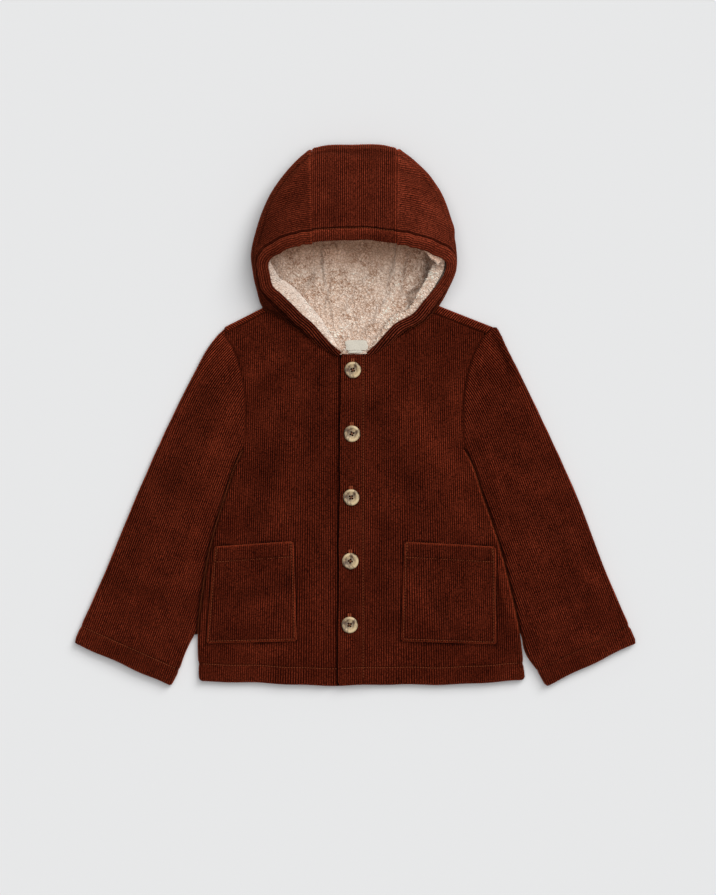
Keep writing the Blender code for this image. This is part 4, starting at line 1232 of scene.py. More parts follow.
class Panel:
    """A hood panel measured in millimetres: along its face edge, and in from that edge.

    Before the station neck, where it is given, the panel has a wall and no floor.
    """

    def __init__(self, at, low, high, outward, neck=None):
        self.at, self.low, self.high, self.outward = at, low, high, outward
        self.places = np.linspace(low, high, 161)
        wall, roll, floor = np.linspace(1, 0, 60), np.linspace(0, -1, 40), np.linspace(-1, -2, 40)
        self.qs = np.concatenate([wall, roll[1:], floor[1:]])
        points = at(self.places[:, None], self.qs[None, :])
        steps = np.linalg.norm(np.diff(points, axis=1), axis=2)
        self.depth = np.concatenate([np.zeros((len(self.places), 1)), np.cumsum(steps, 1)], 1)
        last = np.full(len(self.places), len(self.qs) - 1)
        outline = points[:, len(wall) // 2]
        if neck is not None:
            last[self.places < neck] = len(wall) - 1
            outline = points[:, len(wall) - 1]
        self.ends = self.depth[np.arange(len(self.places)), last]
        self.run = np.concatenate([[0], np.cumsum(np.linalg.norm(np.diff(outline, axis=0), axis=1))])
        self.length = self.run[-1]
        self.d_table = np.linspace(0, self.depth.max(), 400)
        self.q_table = np.array([np.interp(self.d_table, row, self.qs) for row in self.depth])

    def reach(self, s):
        """How far in the panel goes at s along the edge."""
        return np.interp(s, self.run, self.ends)

    def q_at(self, s, d):
        """The station and the q of places s along the edge and d in from it."""
        spot = np.interp(s, self.run, np.arange(len(self.places)))
        i = np.clip(spot.astype(int), 0, len(self.places) - 2)
        j_place = np.clip(d / self.d_table[1], 0, len(self.d_table) - 1.001)
        j = j_place.astype(int)
        a, b = spot - i, j_place - j
        table = self.q_table
        low = mix(table[i, j], table[i + 1, j], a)
        high = mix(table[i, j + 1], table[i + 1, j + 1], a)
        return np.interp(s, self.run, self.places), mix(low, high, b)

    def frame(self, s, d):
        """Points of the outer face, and outward normals, for d from the tip of the turned edge."""
        wave = 0.45 * np.sin(s / 8.3) + 0.25 * np.sin(s / 4.7 + 1) + 0.35 * np.sin(s / 19 + 2)
        inset = (HOOD_TURN + wave) * fades(d, HOOD_EDGE_REACH)
        u, q = self.q_at(s, np.maximum(d, 0) + inset)
        tiny = 1e-4
        u_in = np.clip(u, self.low + tiny, self.high - tiny)
        q_in = np.clip(q, -2 + tiny, 1 - tiny)
        du = self.at(u_in + tiny, q_in) - self.at(u_in - tiny, q_in)
        dq = self.at(u_in, q_in + tiny) - self.at(u_in, q_in - tiny)
        out = np.cross(du, dq) * self.outward
        out = np.where((q <= -1)[..., None], np.array([0, 0, -1.0]), out)
        out /= np.maximum(np.linalg.norm(out, axis=-1, keepdims=True), 1e-12)
        up = dq / np.maximum(np.linalg.norm(dq, axis=-1, keepdims=True), 1e-12)
        return self.at(u, q), out, up, q

    def face(self, s, d, lift, turn=HOOD_TURN):
        """Points lift above the outer face; below 0 the cloth turns in round the face edge."""
        point, out, up, q = self.frame(s, d)
        lifted = point + out * lift[..., None]
        angle = np.clip(-d / turn, 0, math.pi)[..., None]
        past = np.maximum(-d - math.pi * turn, 0)[..., None]
        round_ = point + up * turn * np.sin(angle) - out * turn * (1 - np.cos(angle)) - up * past
        round_ = round_ + (out * np.cos(angle) + up * np.sin(angle)) * lift[..., None]
        return np.where((d < 0)[..., None], round_, lifted), out, q


def hood_panels():
    """The hood's three panels."""
    return {
        "right": Panel(side_place("right"), 0.0, SEAM_STATION, -1, NECK_STATION),
        "left": Panel(side_place("left"), 0.0, SEAM_STATION, 1, NECK_STATION),
        "centre": Panel(centre_place, 0.0, 1.0, -1),
    }


def rim_distance(panel, s, point, q):
    """How far in plan a place of the hood is from the hood's outline; negative underneath."""
    rim = panel.at(np.interp(s, panel.run, panel.places), 0.0 * s)
    away = np.hypot(point[..., 0] - rim[..., 0], point[..., 1] - rim[..., 1])
    return np.where(q < 0, -away, away)


def seam_gap(panel, name, s):
    """Distance from the hood's nearest seam between panels."""
    return np.minimum(s, panel.length - s) if name == "centre" else panel.length - s


def upper_hood(d, point):
    """1 on the upper hood behind its band, 0 near the neck."""
    return eased((point[..., 1] - 120) / 60) * eased((d - 16) / 10)


def hood_lift(s, d, gap, point, rim):
    """Relief of the hood's cloth: its band, seams, folds and the creases beside its outline."""
    lift = HOOD_BAND_ROLL.at(d)
    lift = lift + 2.2 * puckers(d - HOOD_BAND, s, 4.0)
    lift = lift - HOOD_SEAM_DIP * fades(gap, HOOD_SEAM_WIDTH) + HOOD_SEAM_ROLL.at(gap)
    lift = lift + bumps(HOOD_OUTLINE, rim) * upper_hood(d, point)
    soft = eased((d - 4) / 14) * (point[..., 2] > 3)
    return lift + (folds(HOOD_FOLDS, point[..., 0], point[..., 1]) + 0.5 * uneven(s, d)) * soft


def hood_tone(d, gap, point, rim):
    """Painted shade in seams and above the band; painted highlights at the band's and the hood's edges;
    painted light and shade on folds.
    """
    band = 1 + HOOD_BAND_TONE * fades(d - HOOD_BAND + 1, 2) + bumps(HOOD_BAND_LIGHT_AND_SHADE, d)
    edge = HOOD_EDGE_HIGHLIGHT.at(rim) * eased((point[..., 1] - 95) / 40) + HOOD_EDGE_SHADE.at(rim)
    band = band * (1 + edge + bumps(HOOD_CREASE_LIGHT_AND_SHADE, rim) * upper_hood(d, point))
    nap_and_fold_light = 1 + FOLD_LIGHT_AND_SHADE * folds(HOOD_FOLDS, point[..., 0], point[..., 1]) * (point[..., 2] > 3)
    seam = painted_shade(gap, *HOOD_SEAM_SHADE) * (1 + HOOD_SEAM_HIGHLIGHT.at(gap))
    return nap_and_fold_light * band * seam * painted_shade(d - HOOD_BAND - 0.6, *HOOD_BAND_SHADE)


def hood_surface(panel, name, s, d, sink=0.0):
    """Points of a hood panel's cloth, sunk a little or not, with their normals and tones."""
    point, out, _, q = panel.frame(s, d)
    rim = rim_distance(panel, s, point, q)
    gap = seam_gap(panel, name, s)
    points, _, _ = panel.face(s, d, hood_lift(s, d, gap, point, rim) - sink)
    return points, out, hood_tone(d, gap, point, rim)


def hood_inside(panel, s, d):
    """Positive on a hood panel, its turned edge and its facing."""
    return nearest(panel.reach(s) - d, s + 0.0 * d, panel.length - s, d + HOOD_START)


def make_hood_cloth(name, node, panel, look):
    """A hood panel: a side, with cords that follow the face edge, or the centre, with cords across it."""
    deep = (-HOOD_START - 1, float(panel.ends.max()) + 2)
    long = (-3.0, panel.length + 3)
    if name == "centre":
        rows = lines(*deep, 2.8, Fine(-3.2, 5.6, 0.8), Fine(HOOD_BAND, 3.6, 0.6))
        grid = clipped_grid(lambda s, d: hood_inside(panel, s, d), lines(*long, CORD_STEP), rows)
        s, d = grid.points.T
    else:
        columns = lines(*deep, CORD_STEP)
        grid = clipped_grid(lambda d, s: hood_inside(panel, s, d), columns, lines(*long, 3.2))
        d, s = grid.points.T
    points, _, tone = hood_surface(panel, name, s, d)
    points[:, 2] = np.maximum(points[:, 2], 0.0)
    if name != "centre":
        # Painted shade low on the hood's sides near the neck, with painted light and shade on the cords
        # there.
        low = fades(np.interp(s, panel.run, panel.places) - LOW_HOOD_START, LOW_HOOD_RUN)
        tone = tone * (1 - LOW_HOOD_SHADE * low) * cord_light_and_shade(d, low)
    faces = flipped(grid.faces) if name == "left" else grid.faces
    cord = s if name == "centre" else d
    sheet = Sheet(points, faces, cord, pressed(seam_gap(panel, name, s)), tone)
    make_cloth(node, [sheet], look)


# Fleece ---------------------------------------------------------------------------------------


def pile(points):
    """How high the curls of the fleece stand at points in millimetres, from 0 to 1."""
    noise.seed_set(FLEECE_SEED)
    heights = np.zeros(len(points))
    for k, (x, y, z) in enumerate(points.tolist()):
        here = Vector((x, y, 0.7 * z))
        bent = here + 1.7 * noise.noise_vector(here * 0.3)
        curl = 1 - abs(noise.noise(bent * 0.3)) * 2.2
        fine = 1 - abs(noise.noise(bent * 0.62)) * 2.0
        soft = noise.noise(here * 0.07)
        heights[k] = 0.45 * curl + 0.35 * fine + 0.3 * soft
    return heights


def make_fleece(name, points, normals, faces, look, nodes, share, tone):
    """A sheet of curly fleece: points in millimetres pushed out by its share of the pile."""
    curls = pile(points)
    made = new_object(name, points + normals * (curls * FLEECE_PILE * share)[:, None], faces, look)
    roof = eased((points[:, 1] - ROOF_START) / ROOF_RUN)
    add_attributes(made, pile=mix(0.8, curls, share), curly=share + 0.0 * curls, tone=tone, roof=roof)
    place(made, nodes, "fleece")


def creased(relief):
    """The tone of fleece in its creases: painted shade, and a little painted light on its ridges."""
    return np.clip(1 + CREASE_SHADE * relief, 0.45, 1.06)


def make_hood_lining(name, panel, look):
    """The lining of one hood panel: a soft lip inside the face, the wall and the floor."""
    def inside(d, s):
        return nearest(panel.reach(s) - d, s + 0.0 * d, panel.length - s, d - 4.0)

    columns = lines(4.0, float(panel.ends.max()) + 2, LINING_STEP)
    grid = clipped_grid(inside, columns, lines(-2.0, panel.length + 2, LINING_STEP), NO_RIM)
    d, s = grid.points.T
    point, out, _, q = panel.frame(s, d)
    station = np.interp(s, panel.run, panel.places)
    lip = np.zeros(len(s)) if name == "centre" else along(LINING_LIP[name], station)
    share = np.exp(-np.abs((d - LIP_PLACE) / LIP_WIDTH) ** 2.6)
    edge, edge_out, _, _ = panel.frame(s, np.zeros(len(s)))
    ahead = panel.frame(np.minimum(s + LIP_SPREAD, panel.length), np.zeros(len(s)))[0]
    behind = panel.frame(np.maximum(s - LIP_SPREAD, 0.0), np.zeros(len(s)))[0]
    run = (ahead - behind) * (-1 if name == "right" else 1)
    inward = xyz(-run[:, 1], run[:, 0], 0.0 * s)
    inward /= np.linalg.norm(inward, axis=1, keepdims=True)
    crest = edge + inward * lip[:, None] - edge_out * LIP_DROP
    base = point - out * LINING_DEPTH
    base = base + (crest - base) * (share * (lip > 0))[:, None]
    relief = folds(LINING_FOLDS, base[:, 0], base[:, 1]) * (q <= -1)
    base[:, 2] += relief
    curly = 1 - (1 - LIP_CURL[name]) * share * (lip > 0)
    # Painted light on the lip, and painted shade at its foot.
    tone = creased(relief) * (1 + 0.1 * share * (lip > 0))
    tone = tone * (1 - LIP_SHADE[name] * bell(d, LIP_FOOT, 4.0) * (lip > 2))
    node = f"hood_lining_{name}"
    normals, faces = turned_normals(base, grid.faces, -out)
    normals[q <= -1] = (0.0, 0.0, 1.0)
    make_fleece(f"{node}_fleece", base, normals, faces, look, [node], curly, tone)


def turned_normals(points, faces, wanted):
    """Vertex normals of a sheet, and its faces, turned to the wanted side."""
    data = bpy.data.meshes.new("turned")
    data.from_pydata((points * MM).tolist(), [], faces)
    out = vertex_normals(data)
    bpy.data.meshes.remove(data)
    if np.sum(out * wanted) < 0:
        return -out, flipped(faces)
    return out, faces


def make_neck_lining(look):
    """The fleece inside the back, seen in the neck opening."""
    def inside(x, y):
        return np.minimum(nape_y(x) + 2.5 - y, y - 52.0)

    grid = clipped_grid(inside, lines(-98.0, 90.0, LINING_STEP), lines(50.0, 124.0, LINING_STEP), NO_RIM)
    x, y = grid.points.T
    under = 0.5 * eased((y - nape_y(x)) / 2.0)
    relief = folds(LINING_FOLDS, x, y)
    base = xyz(x, y, LINING_DEPTH - under + relief)
    up = np.tile([0.0, 0.0, 1.0], (len(x), 1))
    make_fleece("neck_lining", base, up, grid.faces, look, [], 1.0, creased(relief))


# Trims ----------------------------------------------------------------------------------------


def stitch_row(line, ups):
    """Stitches along a line of points in millimetres, as separate small bars."""
    steps = np.linalg.norm(np.diff(line, axis=0), axis=1)
    run = np.concatenate([[0], np.cumsum(steps)])
    starts = np.arange(STITCH_PITCH / 2, run[-1] - STITCH_PITCH / 2, STITCH_PITCH)

    def on(rows, spot):
        return np.array([np.interp(spot, run, rows[:, axis]) for axis in range(3)])

    points, faces = [], []
    for middle in starts:
        begin, end = (on(line, middle + k * STITCH_LENGTH) for k in (-0.5, 0.5))
        up = on(ups, middle)
        aside = np.cross(end - begin, up)
        aside /= max(np.linalg.norm(aside), 1e-9)
        up = up / np.linalg.norm(up)
        first = len(points)
        for share, girth, rise in STITCH_RINGS:
            centre = mix(begin, end, share + 0.5) + up * (rise * STITCH_RADIUS)
            for k in range(STITCH_SIDES):
                turn = math.tau * k / STITCH_SIDES
                spread = aside * math.cos(turn) + up * math.sin(turn)
                points.append(centre + spread * STITCH_RADIUS * max(girth, THINNEST_GIRTH))
        sides = tube_faces(first, len(STITCH_RINGS), STITCH_SIDES)
        faces += [[a, b, c, d] for a, d, c, b in sides]
        faces.append([first + k for k in reversed(range(STITCH_SIDES))])
        faces.append([len(points) - STITCH_SIDES + k for k in range(STITCH_SIDES)])
    return points, faces


def tube_faces(first, rings, sides):
    """Faces between rings of points, the first ring's points starting at first."""
    faces = []
    for ring in range(rings - 1):
        for k in range(sides):
            a, b = first + ring * sides + k, first + ring * sides + (k + 1) % sides
            faces.append([a, a + sides, b + sides, b])
    return faces


def make_stitching(name, rows, look):
    """One joined mesh of all the rows of stitches of a piece."""
    points, faces = [], []
    for line, ups in rows:
        more, more_faces = stitch_row(np.asarray(line, float), np.asarray(ups, float))
        faces += [[k + len(points) for k in face] for face in more_faces]
        points += more
    place(new_object(name, points, faces, look))


def flat_row(xs, ys, height):
    """A row on cloth that lies: its line from plan and a height function, and its ups."""
    line = xyz(xs, ys, height(xs, ys))
    return line, np.tile([0.0, 0.0, 1.0], (len(line), 1))


def front_rows(side):
    """Rows of stitches on a front: hem, placket and pocket."""
    def height(x, y):
        return front_height(side, x, y) - STITCH_SINK

    def on_pocket(x, y):
        return front_height(side, x, y) + POCKET_RISE - 0.35

    def straight(a, b, share):
        return flat_row(mix(a[0], b[0], share), mix(a[1], b[1], share), on_pocket)

    sign = sign_of(side)
    start = centre_edge(HEM_Y) + 3 if side == "left" else centre_edge(HEM_Y) - 1
    xs = np.linspace(start, body_edge(side, HEM_Y + HEM_STITCH) - sign * 4, 160)
    rows = [flat_row(xs, hem_y(xs) + HEM_STITCH, height)]
    if side == "left":
        ys = np.linspace(PLACKET_TOP_Y - 3, HEM_Y + 3, 200)
        rows.append(flat_row(np.full(200, PLACKET_STITCH_X), ys, height))
    corners = POCKETS[side]
    middle = np.mean([(p.x, p.y) for p in corners], axis=0)
    ring = [np.array(p) + POCKET_STITCH * np.sign(middle - np.array(p)) for p in corners]
    for top in ring[:2]:
        top[1] += POCKET_STITCH - 0.6
    for a, b in ((ring[0], ring[3]), (ring[3], ring[2]), (ring[2], ring[1])):
        rows.append(straight(a, b, np.linspace(0, 1, 60)))
    share = np.linspace(0.02, 0.98, 60)
    a, b = corners.top_in, corners.top_out
    rows.append(flat_row(mix(a.x, b.x, share), mix(a.y, b.y, share) - POCKET_HEM, on_pocket))
    for p, q in ((ring[0], ring[3]), (ring[1], ring[2])):
        toward = (q - p) / np.linalg.norm(q - p)
        share = np.linspace(0, 11, 12)
        shift = np.sign(middle[0] - p[0]) * 1.3
        rows.append(flat_row(p[0] + toward[0] * share + shift, p[1] + toward[1] * share, on_pocket))
    return rows


def sleeve_rows(side):
    """The row of stitches round a cuff."""
    out, end = sleeve_cuff(side)
    across, _ = sleeve_axes(side)
    up = np.array([-across[1], across[0]])
    up = up if up[1] > 0 else -up
    share = np.linspace(-0.06, 1.06, 120)
    xs, ys = (mix(a, b, share) for a, b in zip(out + up * CUFF_STITCH, end + up * CUFF_STITCH))
    outer, inner, _, _ = sleeve_edges(side, xs, ys)
    good = (outer > 1.5) & (inner > 1.5)

    def height(x, y):
        return ROLL + sleeve_height(side, x, y) - STITCH_SINK

    return [flat_row(xs[good], ys[good], height)]


def hood_band_rows(panels):
    """The row of stitches round the hood's band."""
    rows = []
    for name, panel in panels.items():
        s = np.linspace(0.5 if name == "centre" else 6.0, panel.length - 0.5, 140)
        s = s[panel.reach(s) > HOOD_BAND + 2]
        line, out, _ = hood_surface(panel, name, s, np.full(len(s), HOOD_BAND), STITCH_SINK)
        rows.append((line, out))
    return rows


def button_profile(radius, height):
    """Half section of a button, from the middle of its face, down its rim, to its underside."""
    return (
        (0.0, height - 1.25),
        (0.40 * radius, height - 1.2),
        (0.56 * radius, height - 1.0),
        (0.66 * radius, height - 0.5),
        (0.72 * radius, height - 0.12),
        (0.80 * radius, height),
        (0.88 * radius, height - 0.12),
        (0.95 * radius, height - 0.5),
        (radius, height - 1.15),
        (0.985 * radius, height - 1.9),
        (0.93 * radius, 0.5),
        (0.80 * radius, 0.0),
        (0.0, 0.0),
    )


def drills():
    """Four rods that stand where a button's holes are."""
    rods = bmesh.new()
    radius = HOLE_RADIUS * MM
    for quarter in range(4):
        angle = math.radians(45 + 90 * quarter)
        rod = bmesh.ops.create_cone(
            rods, cap_ends=True, segments=20, depth=0.02, radius1=radius, radius2=radius
        )
        away = Vector((math.cos(angle), math.sin(angle), 0)) * (HOLE_PLACE * MM)
        bmesh.ops.translate(rods, verts=rod["verts"], vec=away)
    data = bpy.data.meshes.new("button_drills")
    rods.to_mesh(data)
    rods.free()
    return linked("button_drills", data)


def button_mesh(horn):
    """One button, turned from its half section and drilled."""
    _, _, radius, height = button_middle(0)
    profile = [(x * MM, 0.0, z * MM) for x, z in button_profile(radius, height)]
    data = bpy.data.meshes.new("button_turned")
    data.from_pydata(profile, [(k, k + 1) for k in range(len(profile) - 1)], [])
    blank = linked("button_turned", data)
    turn = blank.modifiers.new("turn", "SCREW")
    turn.steps = turn.render_steps = BUTTON_STEPS
    turn.use_merge_vertices = True
    turn.merge_threshold = 0.00001
    drill = drills()
    cut = blank.modifiers.new("drill", "BOOLEAN")
    cut.operation = "DIFFERENCE"
    cut.solver = "EXACT"
    cut.object = drill
    soften = blank.modifiers.new("soften", "BEVEL")
    soften.width = BUTTON_BEVEL * MM
    soften.segments = 2
    soften.limit_method = "ANGLE"
    soften.angle_limit = math.radians(40)
    bpy.context.view_layer.update()
    seen = blank.evaluated_get(bpy.context.evaluated_depsgraph_get())
    drilled = bpy.data.meshes.new_from_object(seen)
    drilled.materials.clear()
    drilled.materials.append(horn)
    drilled.shade_smooth()
    drilled.set_sharp_from_angle(angle=math.radians(35))
    bpy.data.objects.remove(blank, do_unlink=True)
    bpy.data.objects.remove(drill, do_unlink=True)
    return drilled


def make_buttons(horn, thread):
    """Four-hole buttons with crossed thread."""
    drilled = button_mesh(horn)
    for number, spin in enumerate(BUTTON_SPINS):
        node = f"button_{number + 1}"
        lo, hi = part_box(node)
        made = linked(f"{node}_horn", drilled.copy())
        made.location = ((lo.x + hi.x) / 2, (lo.y + hi.y) / 2, lo.z)
        made.rotation_euler = (0.0, 0.0, spin)
        place(made, [node], "horn")
        make_cross(f"{node}_thread", made, thread)


def make_cross(name, button, thread):
    """The thread that crosses between a button's holes."""
    _, _, _, height = button_middle(0)
    up = np.array([0.0, 0.0, 1.0])
    points, faces = [], []
    for turn, crest in ((45, 0.25), (135, 0.55)):
        run = np.array([math.cos(math.radians(turn)), math.sin(math.radians(turn)), 0.0])
        aside = np.array([-run[1], run[0], 0.0])
        path = [(-reach, rise) for reach, rise in THREAD_PATH]
        path += [(0.0, crest), *reversed(THREAD_PATH)]
        faces += tube_faces(len(points), len(path), THREAD_SIDES)
        for reach, rise in path:
            middle = run * reach + up * (height - BUTTON_FACE + rise)
            for k in range(THREAD_SIDES):
                angle = math.tau * k / THREAD_SIDES
                points.append(middle + BUTTON_THREAD * (aside * math.cos(angle) + up * math.sin(angle)))
    made = new_object(name, points, faces, thread)
    made.location = button.location
    made.rotation_euler = button.rotation_euler
    place(made)


def make_buttonholes(look):
    """The worked buttonholes, of which the top end shows above each button."""
    points, faces = [], []
    for number in range(len(BUTTON_SPINS)):
        x, y, _, _ = button_middle(number)
        ys = np.linspace(y + BUTTONHOLE_START, y + BUTTONHOLE_END, BUTTONHOLE_STITCHES)
        ring = [(x - BUTTONHOLE_HALF, py) for py in ys] + [(x + BUTTONHOLE_HALF, py) for py in ys[::-1]]
        for px, py in ring:
            z = float(front_height("left", np.array(px), np.array(py)))
            first = len(points)
            for dx, dz in BUTTONHOLE_SECTION:
                points += [(px + dx, py + dy, z + dz) for dy in (-BUTTONHOLE_THREAD, BUTTONHOLE_THREAD)]
            for a in range(first, len(points) - 2, 2):
                faces.append([a, a + 2, a + 3, a + 1])
    place(new_object("buttonholes", points, faces, look, smooth=False))


def label_point(left, right, low, high, rise, u, v):
    """A place of a small label that bows over the fleece and narrows at its ends."""
    squeeze = 1 - 0.3 * abs(2 * u - 1) ** 7 + 0.02 * math.sin(9 * u)
    x = mix(left, right, u) + 0.5 * math.sin(5 * v)
    y = (low + high) / 2 + (v - 0.5) * (high - low) * squeeze + 0.5 * math.sin(3 * u)
    edge = min(u, 1 - u) * (right - left)
    bow = 0.9 * math.sin(math.pi * u) + 0.25 * math.sin(7 * u + 2 * v) - 0.5 * math.exp(-edge / 1.2)
    return x, y, rise + bow


def make_label(look):
    """A plain woven label and a small tab below it, a little bowed over the fleece."""
    lo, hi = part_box("neck_label")
    x0, x1, y0, y1 = lo.x / MM, hi.x / MM, lo.y / MM, hi.y / MM
    us, vs = np.linspace(0, 1, 45), np.linspace(0, 1, 23)
    count, size = len(vs), len(us) * len(vs)
    border = [i * count for i in range(len(us))]
    border += [(len(us) - 1) * count + j for j in range(1, count)]
    border += [i * count + count - 1 for i in range(len(us) - 2, -1, -1)]
    border += list(range(count - 2, 0, -1))
    points, faces = [], []
    for shape in ((x0, x1 - 2.6, y0 + 3.0, y1, 7.6), (x0 + 3.0, x1 - 8.0, y0, y0 + 3.4, 7.1)):
        first = len(points)
        for down in (0.0, LABEL_CLOTH):
            for u in us:
                for v in vs:
                    x, y, z = label_point(*shape, u, v)
                    points.append((x, y, z - down))
        for i in range(len(us) - 1):
            for j in range(count - 1):
                a = first + i * count + j
                faces.append([a, a + count, a + count + 1, a + 1])
                faces.append([a + size + 1, a + size + count + 1, a + size + count, a + size])
        for a, b in zip(border, border[1:] + border[:1]):
            faces.append([first + b, first + a, first + a + size, first + b + size])
    made = new_object("neck_label_woven", points, faces, look)
    made.data.set_sharp_from_angle(angle=math.radians(50))
    place(made, ["neck_label"], "woven_label")


# Materials ------------------------------------------------------------------------------------


class Look:
    """A small helper that adds nodes to a Principled material."""

    def __init__(self, name, roughness, specular, **inputs):
        self.material = bpy.data.materials.new(name)
        self.material.use_nodes = True
        self.nodes = self.material.node_tree.nodes
        self.links = self.material.node_tree.links
        self.shader = self.nodes["Principled BSDF"]
        self.shader.inputs["Roughness"].default_value = roughness
        self.shader.inputs["Specular IOR Level"].default_value = specular
        for key, value in inputs.items():
            self.shader.inputs[key.replace("_", " ").title()].default_value = value

    def add(self, kind, **values):
        """A node with its properties and its inputs' values set."""
        node = self.nodes.new(kind)
        for key, value in values.items():
            if hasattr(node, key):
                setattr(node, key, value)
            else:
                node.inputs[key].default_value = value
        return node

    def join(self, out, into):
        """Link an output to an input."""
        self.links.new(out, into)

    def finish(self, colour, normal=None):
        """The material, with its shader's colour and normal."""
        self.join(colour, self.shader.inputs["Base Color"])
        if normal is not None:
            self.join(normal, self.shader.inputs["Normal"])
        return self.material

    def attribute(self, name):
        """The values that the mesh's points hold under a name."""
        return self.add("ShaderNodeAttribute", attribute_name=name).outputs["Fac"]

    def where(self):
        """Places in the object, in metres."""
        return self.add("ShaderNodeTexCoord").outputs["Object"]

    def blend(self, kind, share, a, b):
        """Mixes two colours; share, a and b are sockets or values."""
        node = self.add("ShaderNodeMix", data_type="RGBA", blend_type=kind)
        for key, value in ((0, share), (6, a), (7, b)):
            if isinstance(value, bpy.types.NodeSocket):
                self.join(value, node.inputs[key])
            else:
                node.inputs[key].default_value = value if key == 0 else (*value, 1)
        return node.outputs[2]

    def between(self, share, a, b):
        """The colour a share of the way from a to b."""
        return self.blend("MIX", share, a, b)

    def times(self, colour, *factors):
        """A colour multiplied by others."""
        for factor in factors:
            colour = self.blend("MULTIPLY", 1.0, colour, factor)
        return colour

    def product(self, a, b):
        """Two values multiplied."""
        node = self.add("ShaderNodeMath", operation="MULTIPLY")
        self.join(a, node.inputs[0])
        self.join(b, node.inputs[1])
        return node.outputs[0]

    def noise(self, scale, detail=2.0, roughness=0.5, stretch=None, distortion=0.0):
        """Soft noise, with as many waves to a metre as its scale."""
        node = self.add(
            "ShaderNodeTexNoise", Scale=scale, Detail=detail, Roughness=roughness, Distortion=distortion
        )
        where = self.where()
        if stretch:
            mapping = self.add("ShaderNodeMapping", Scale=stretch)
            self.join(where, mapping.inputs["Vector"])
            where = mapping.outputs["Vector"]
        self.join(where, node.inputs["Vector"])
        return node.outputs["Fac"]

    def cells(self, scale, bend):
        """Distance to the edge of uneven cells, per metre of size, their walls bent by noise."""
        where = self.where()
        wave = self.add("ShaderNodeTexNoise", Scale=0.7 * scale)
        self.join(where, wave.inputs["Vector"])
        moved = self.add("ShaderNodeVectorMath", operation="MULTIPLY_ADD")
        self.join(wave.outputs["Color"], moved.inputs[0])
        moved.inputs[1].default_value = (bend, bend, bend)
        self.join(where, moved.inputs[2])
        found = self.add("ShaderNodeTexVoronoi", feature="DISTANCE_TO_EDGE", Scale=scale)
        self.join(moved.outputs["Vector"], found.inputs["Vector"])
        return found.outputs["Distance"]

    def band(self, value, low, high, out_low=0.0, out_high=1.0):
        """A value from low to high spread from out_low to out_high."""
        limits = {"From Min": low, "From Max": high, "To Min": out_low, "To Max": out_high}
        node = self.add("ShaderNodeMapRange", **limits)
        self.join(value, node.inputs["Value"])
        return node.outputs["Result"]

    def bump(self, value, strength, distance, after=None):
        """Small relief that only the shading shows, on top of another or not."""
        node = self.add("ShaderNodeBump", Strength=strength, Distance=distance)
        self.join(value, node.inputs["Height"])
        if after is not None:
            self.join(after, node.inputs["Normal"])
        return node.outputs["Normal"]


CORD_COLOUR = (0.114, 0.0150, 0.0053)


def scaled(colour, share):
    """A colour's three parts times a share."""
    return tuple(share * part for part in colour)


def corduroy_look(name, tone, groove):
    """Rust brown corduroy: painted shade between the cords, a soft uneven nap and a velvety sheen.

    The pieces are cut with the nap running different ways, and their tones also hold painted light, so
    their tones differ.
    """
    sheen = {"sheen_weight": 0.7, "sheen_roughness": 0.3, "sheen_tint": (0.62, 0.13, 0.05, 1)}
    look = Look(name, 0.9, 0.02, **sheen)
    # The grooves between the cords are painted dark, as painted shade.
    ridge = look.band(look.attribute("ridge"), 0.34, 0.86)
    cord = look.between(ridge, scaled(CORD_COLOUR, groove), CORD_COLOUR)
    brushed = look.band(look.noise(75.0, 3.0, 0.6), 0.44, 0.64, 0.0, 0.5)
    cord = look.between(brushed, cord, scaled(CORD_COLOUR, 0.55))
    patches = look.band(look.noise(28.0, 3.0, 0.55), 0.35, 0.68)
    nap_and_fold_light = look.between(patches, (0.80, 0.78, 0.77), (1.20, 1.24, 1.27))
    tufts = look.band(look.noise(700.0, 3.0, 0.75), 0.37, 0.63)
    fleck = look.between(tufts, (0.30, 0.26, 0.24), (1.72, 1.86, 2.0))
    # Edges and seams lighter by half: partly wear, partly a painted sheen.
    worn_and_sheen_tone = look.between(look.attribute("wear"), tone, scaled(tone, 1.5))
    colour = look.times(cord, nap_and_fold_light, fleck, worn_and_sheen_tone, look.attribute("tone"))
    return look.finish(colour, look.bump(look.noise(1500.0, 3.0, 0.7), 0.55, 0.0004))


def fleece_look():
    """Cream curly fleece with painted shade: darker and warmer between the curls, where its pile is low, in
    thin veins and in the shade of the roof.
    """
    sheen = {"sheen_weight": 0.35, "sheen_roughness": 0.6, "sheen_tint": (1.0, 0.88, 0.78, 1)}
    look = Look("fleece_pile", 0.95, 0.15, **sheen)
    shade = look.band(look.attribute("pile"), 0.2, 0.85)
    base = look.between(shade, (0.76, 0.58, 0.46), (0.99, 0.82, 0.70))
    patches = look.band(look.noise(38.0, 3.0, 0.6), 0.3, 0.7)
    patched = look.between(patches, (0.9, 0.88, 0.86), (1.05, 1.06, 1.07))
    curls = look.cells(290.0, 0.007)
    deep = look.between(look.band(curls, 0.0, 0.125), (0.66, 0.53, 0.445), (1.18, 1.19, 1.195))
    veins = look.noise(110.0, 3.0, 0.6, distortion=1.5)
    vein = look.product(look.band(veins, 0.455, 0.493), look.band(veins, 0.507, 0.545, 1.0, 0.0))
    sparse = look.band(look.noise(45.0, 2.0), 0.40, 0.55)
    deep = look.between(look.product(vein, sparse), deep, (0.46, 0.29, 0.19))
    deep = look.between(look.attribute("curly"), (1.0, 1.01, 1.03), deep)
    roof = look.between(look.attribute("roof"), (1, 1, 1), (0.80, 0.60, 0.48))
    colour = look.times(base, patched, deep, look.attribute("tone"), roof)
    colour.node.clamp_result = True
    fine = look.bump(look.noise(1300.0, 4.0, 0.75), 0.6, 0.0006)
    return look.finish(colour, look.bump(curls, 0.8, 0.0030, fine))


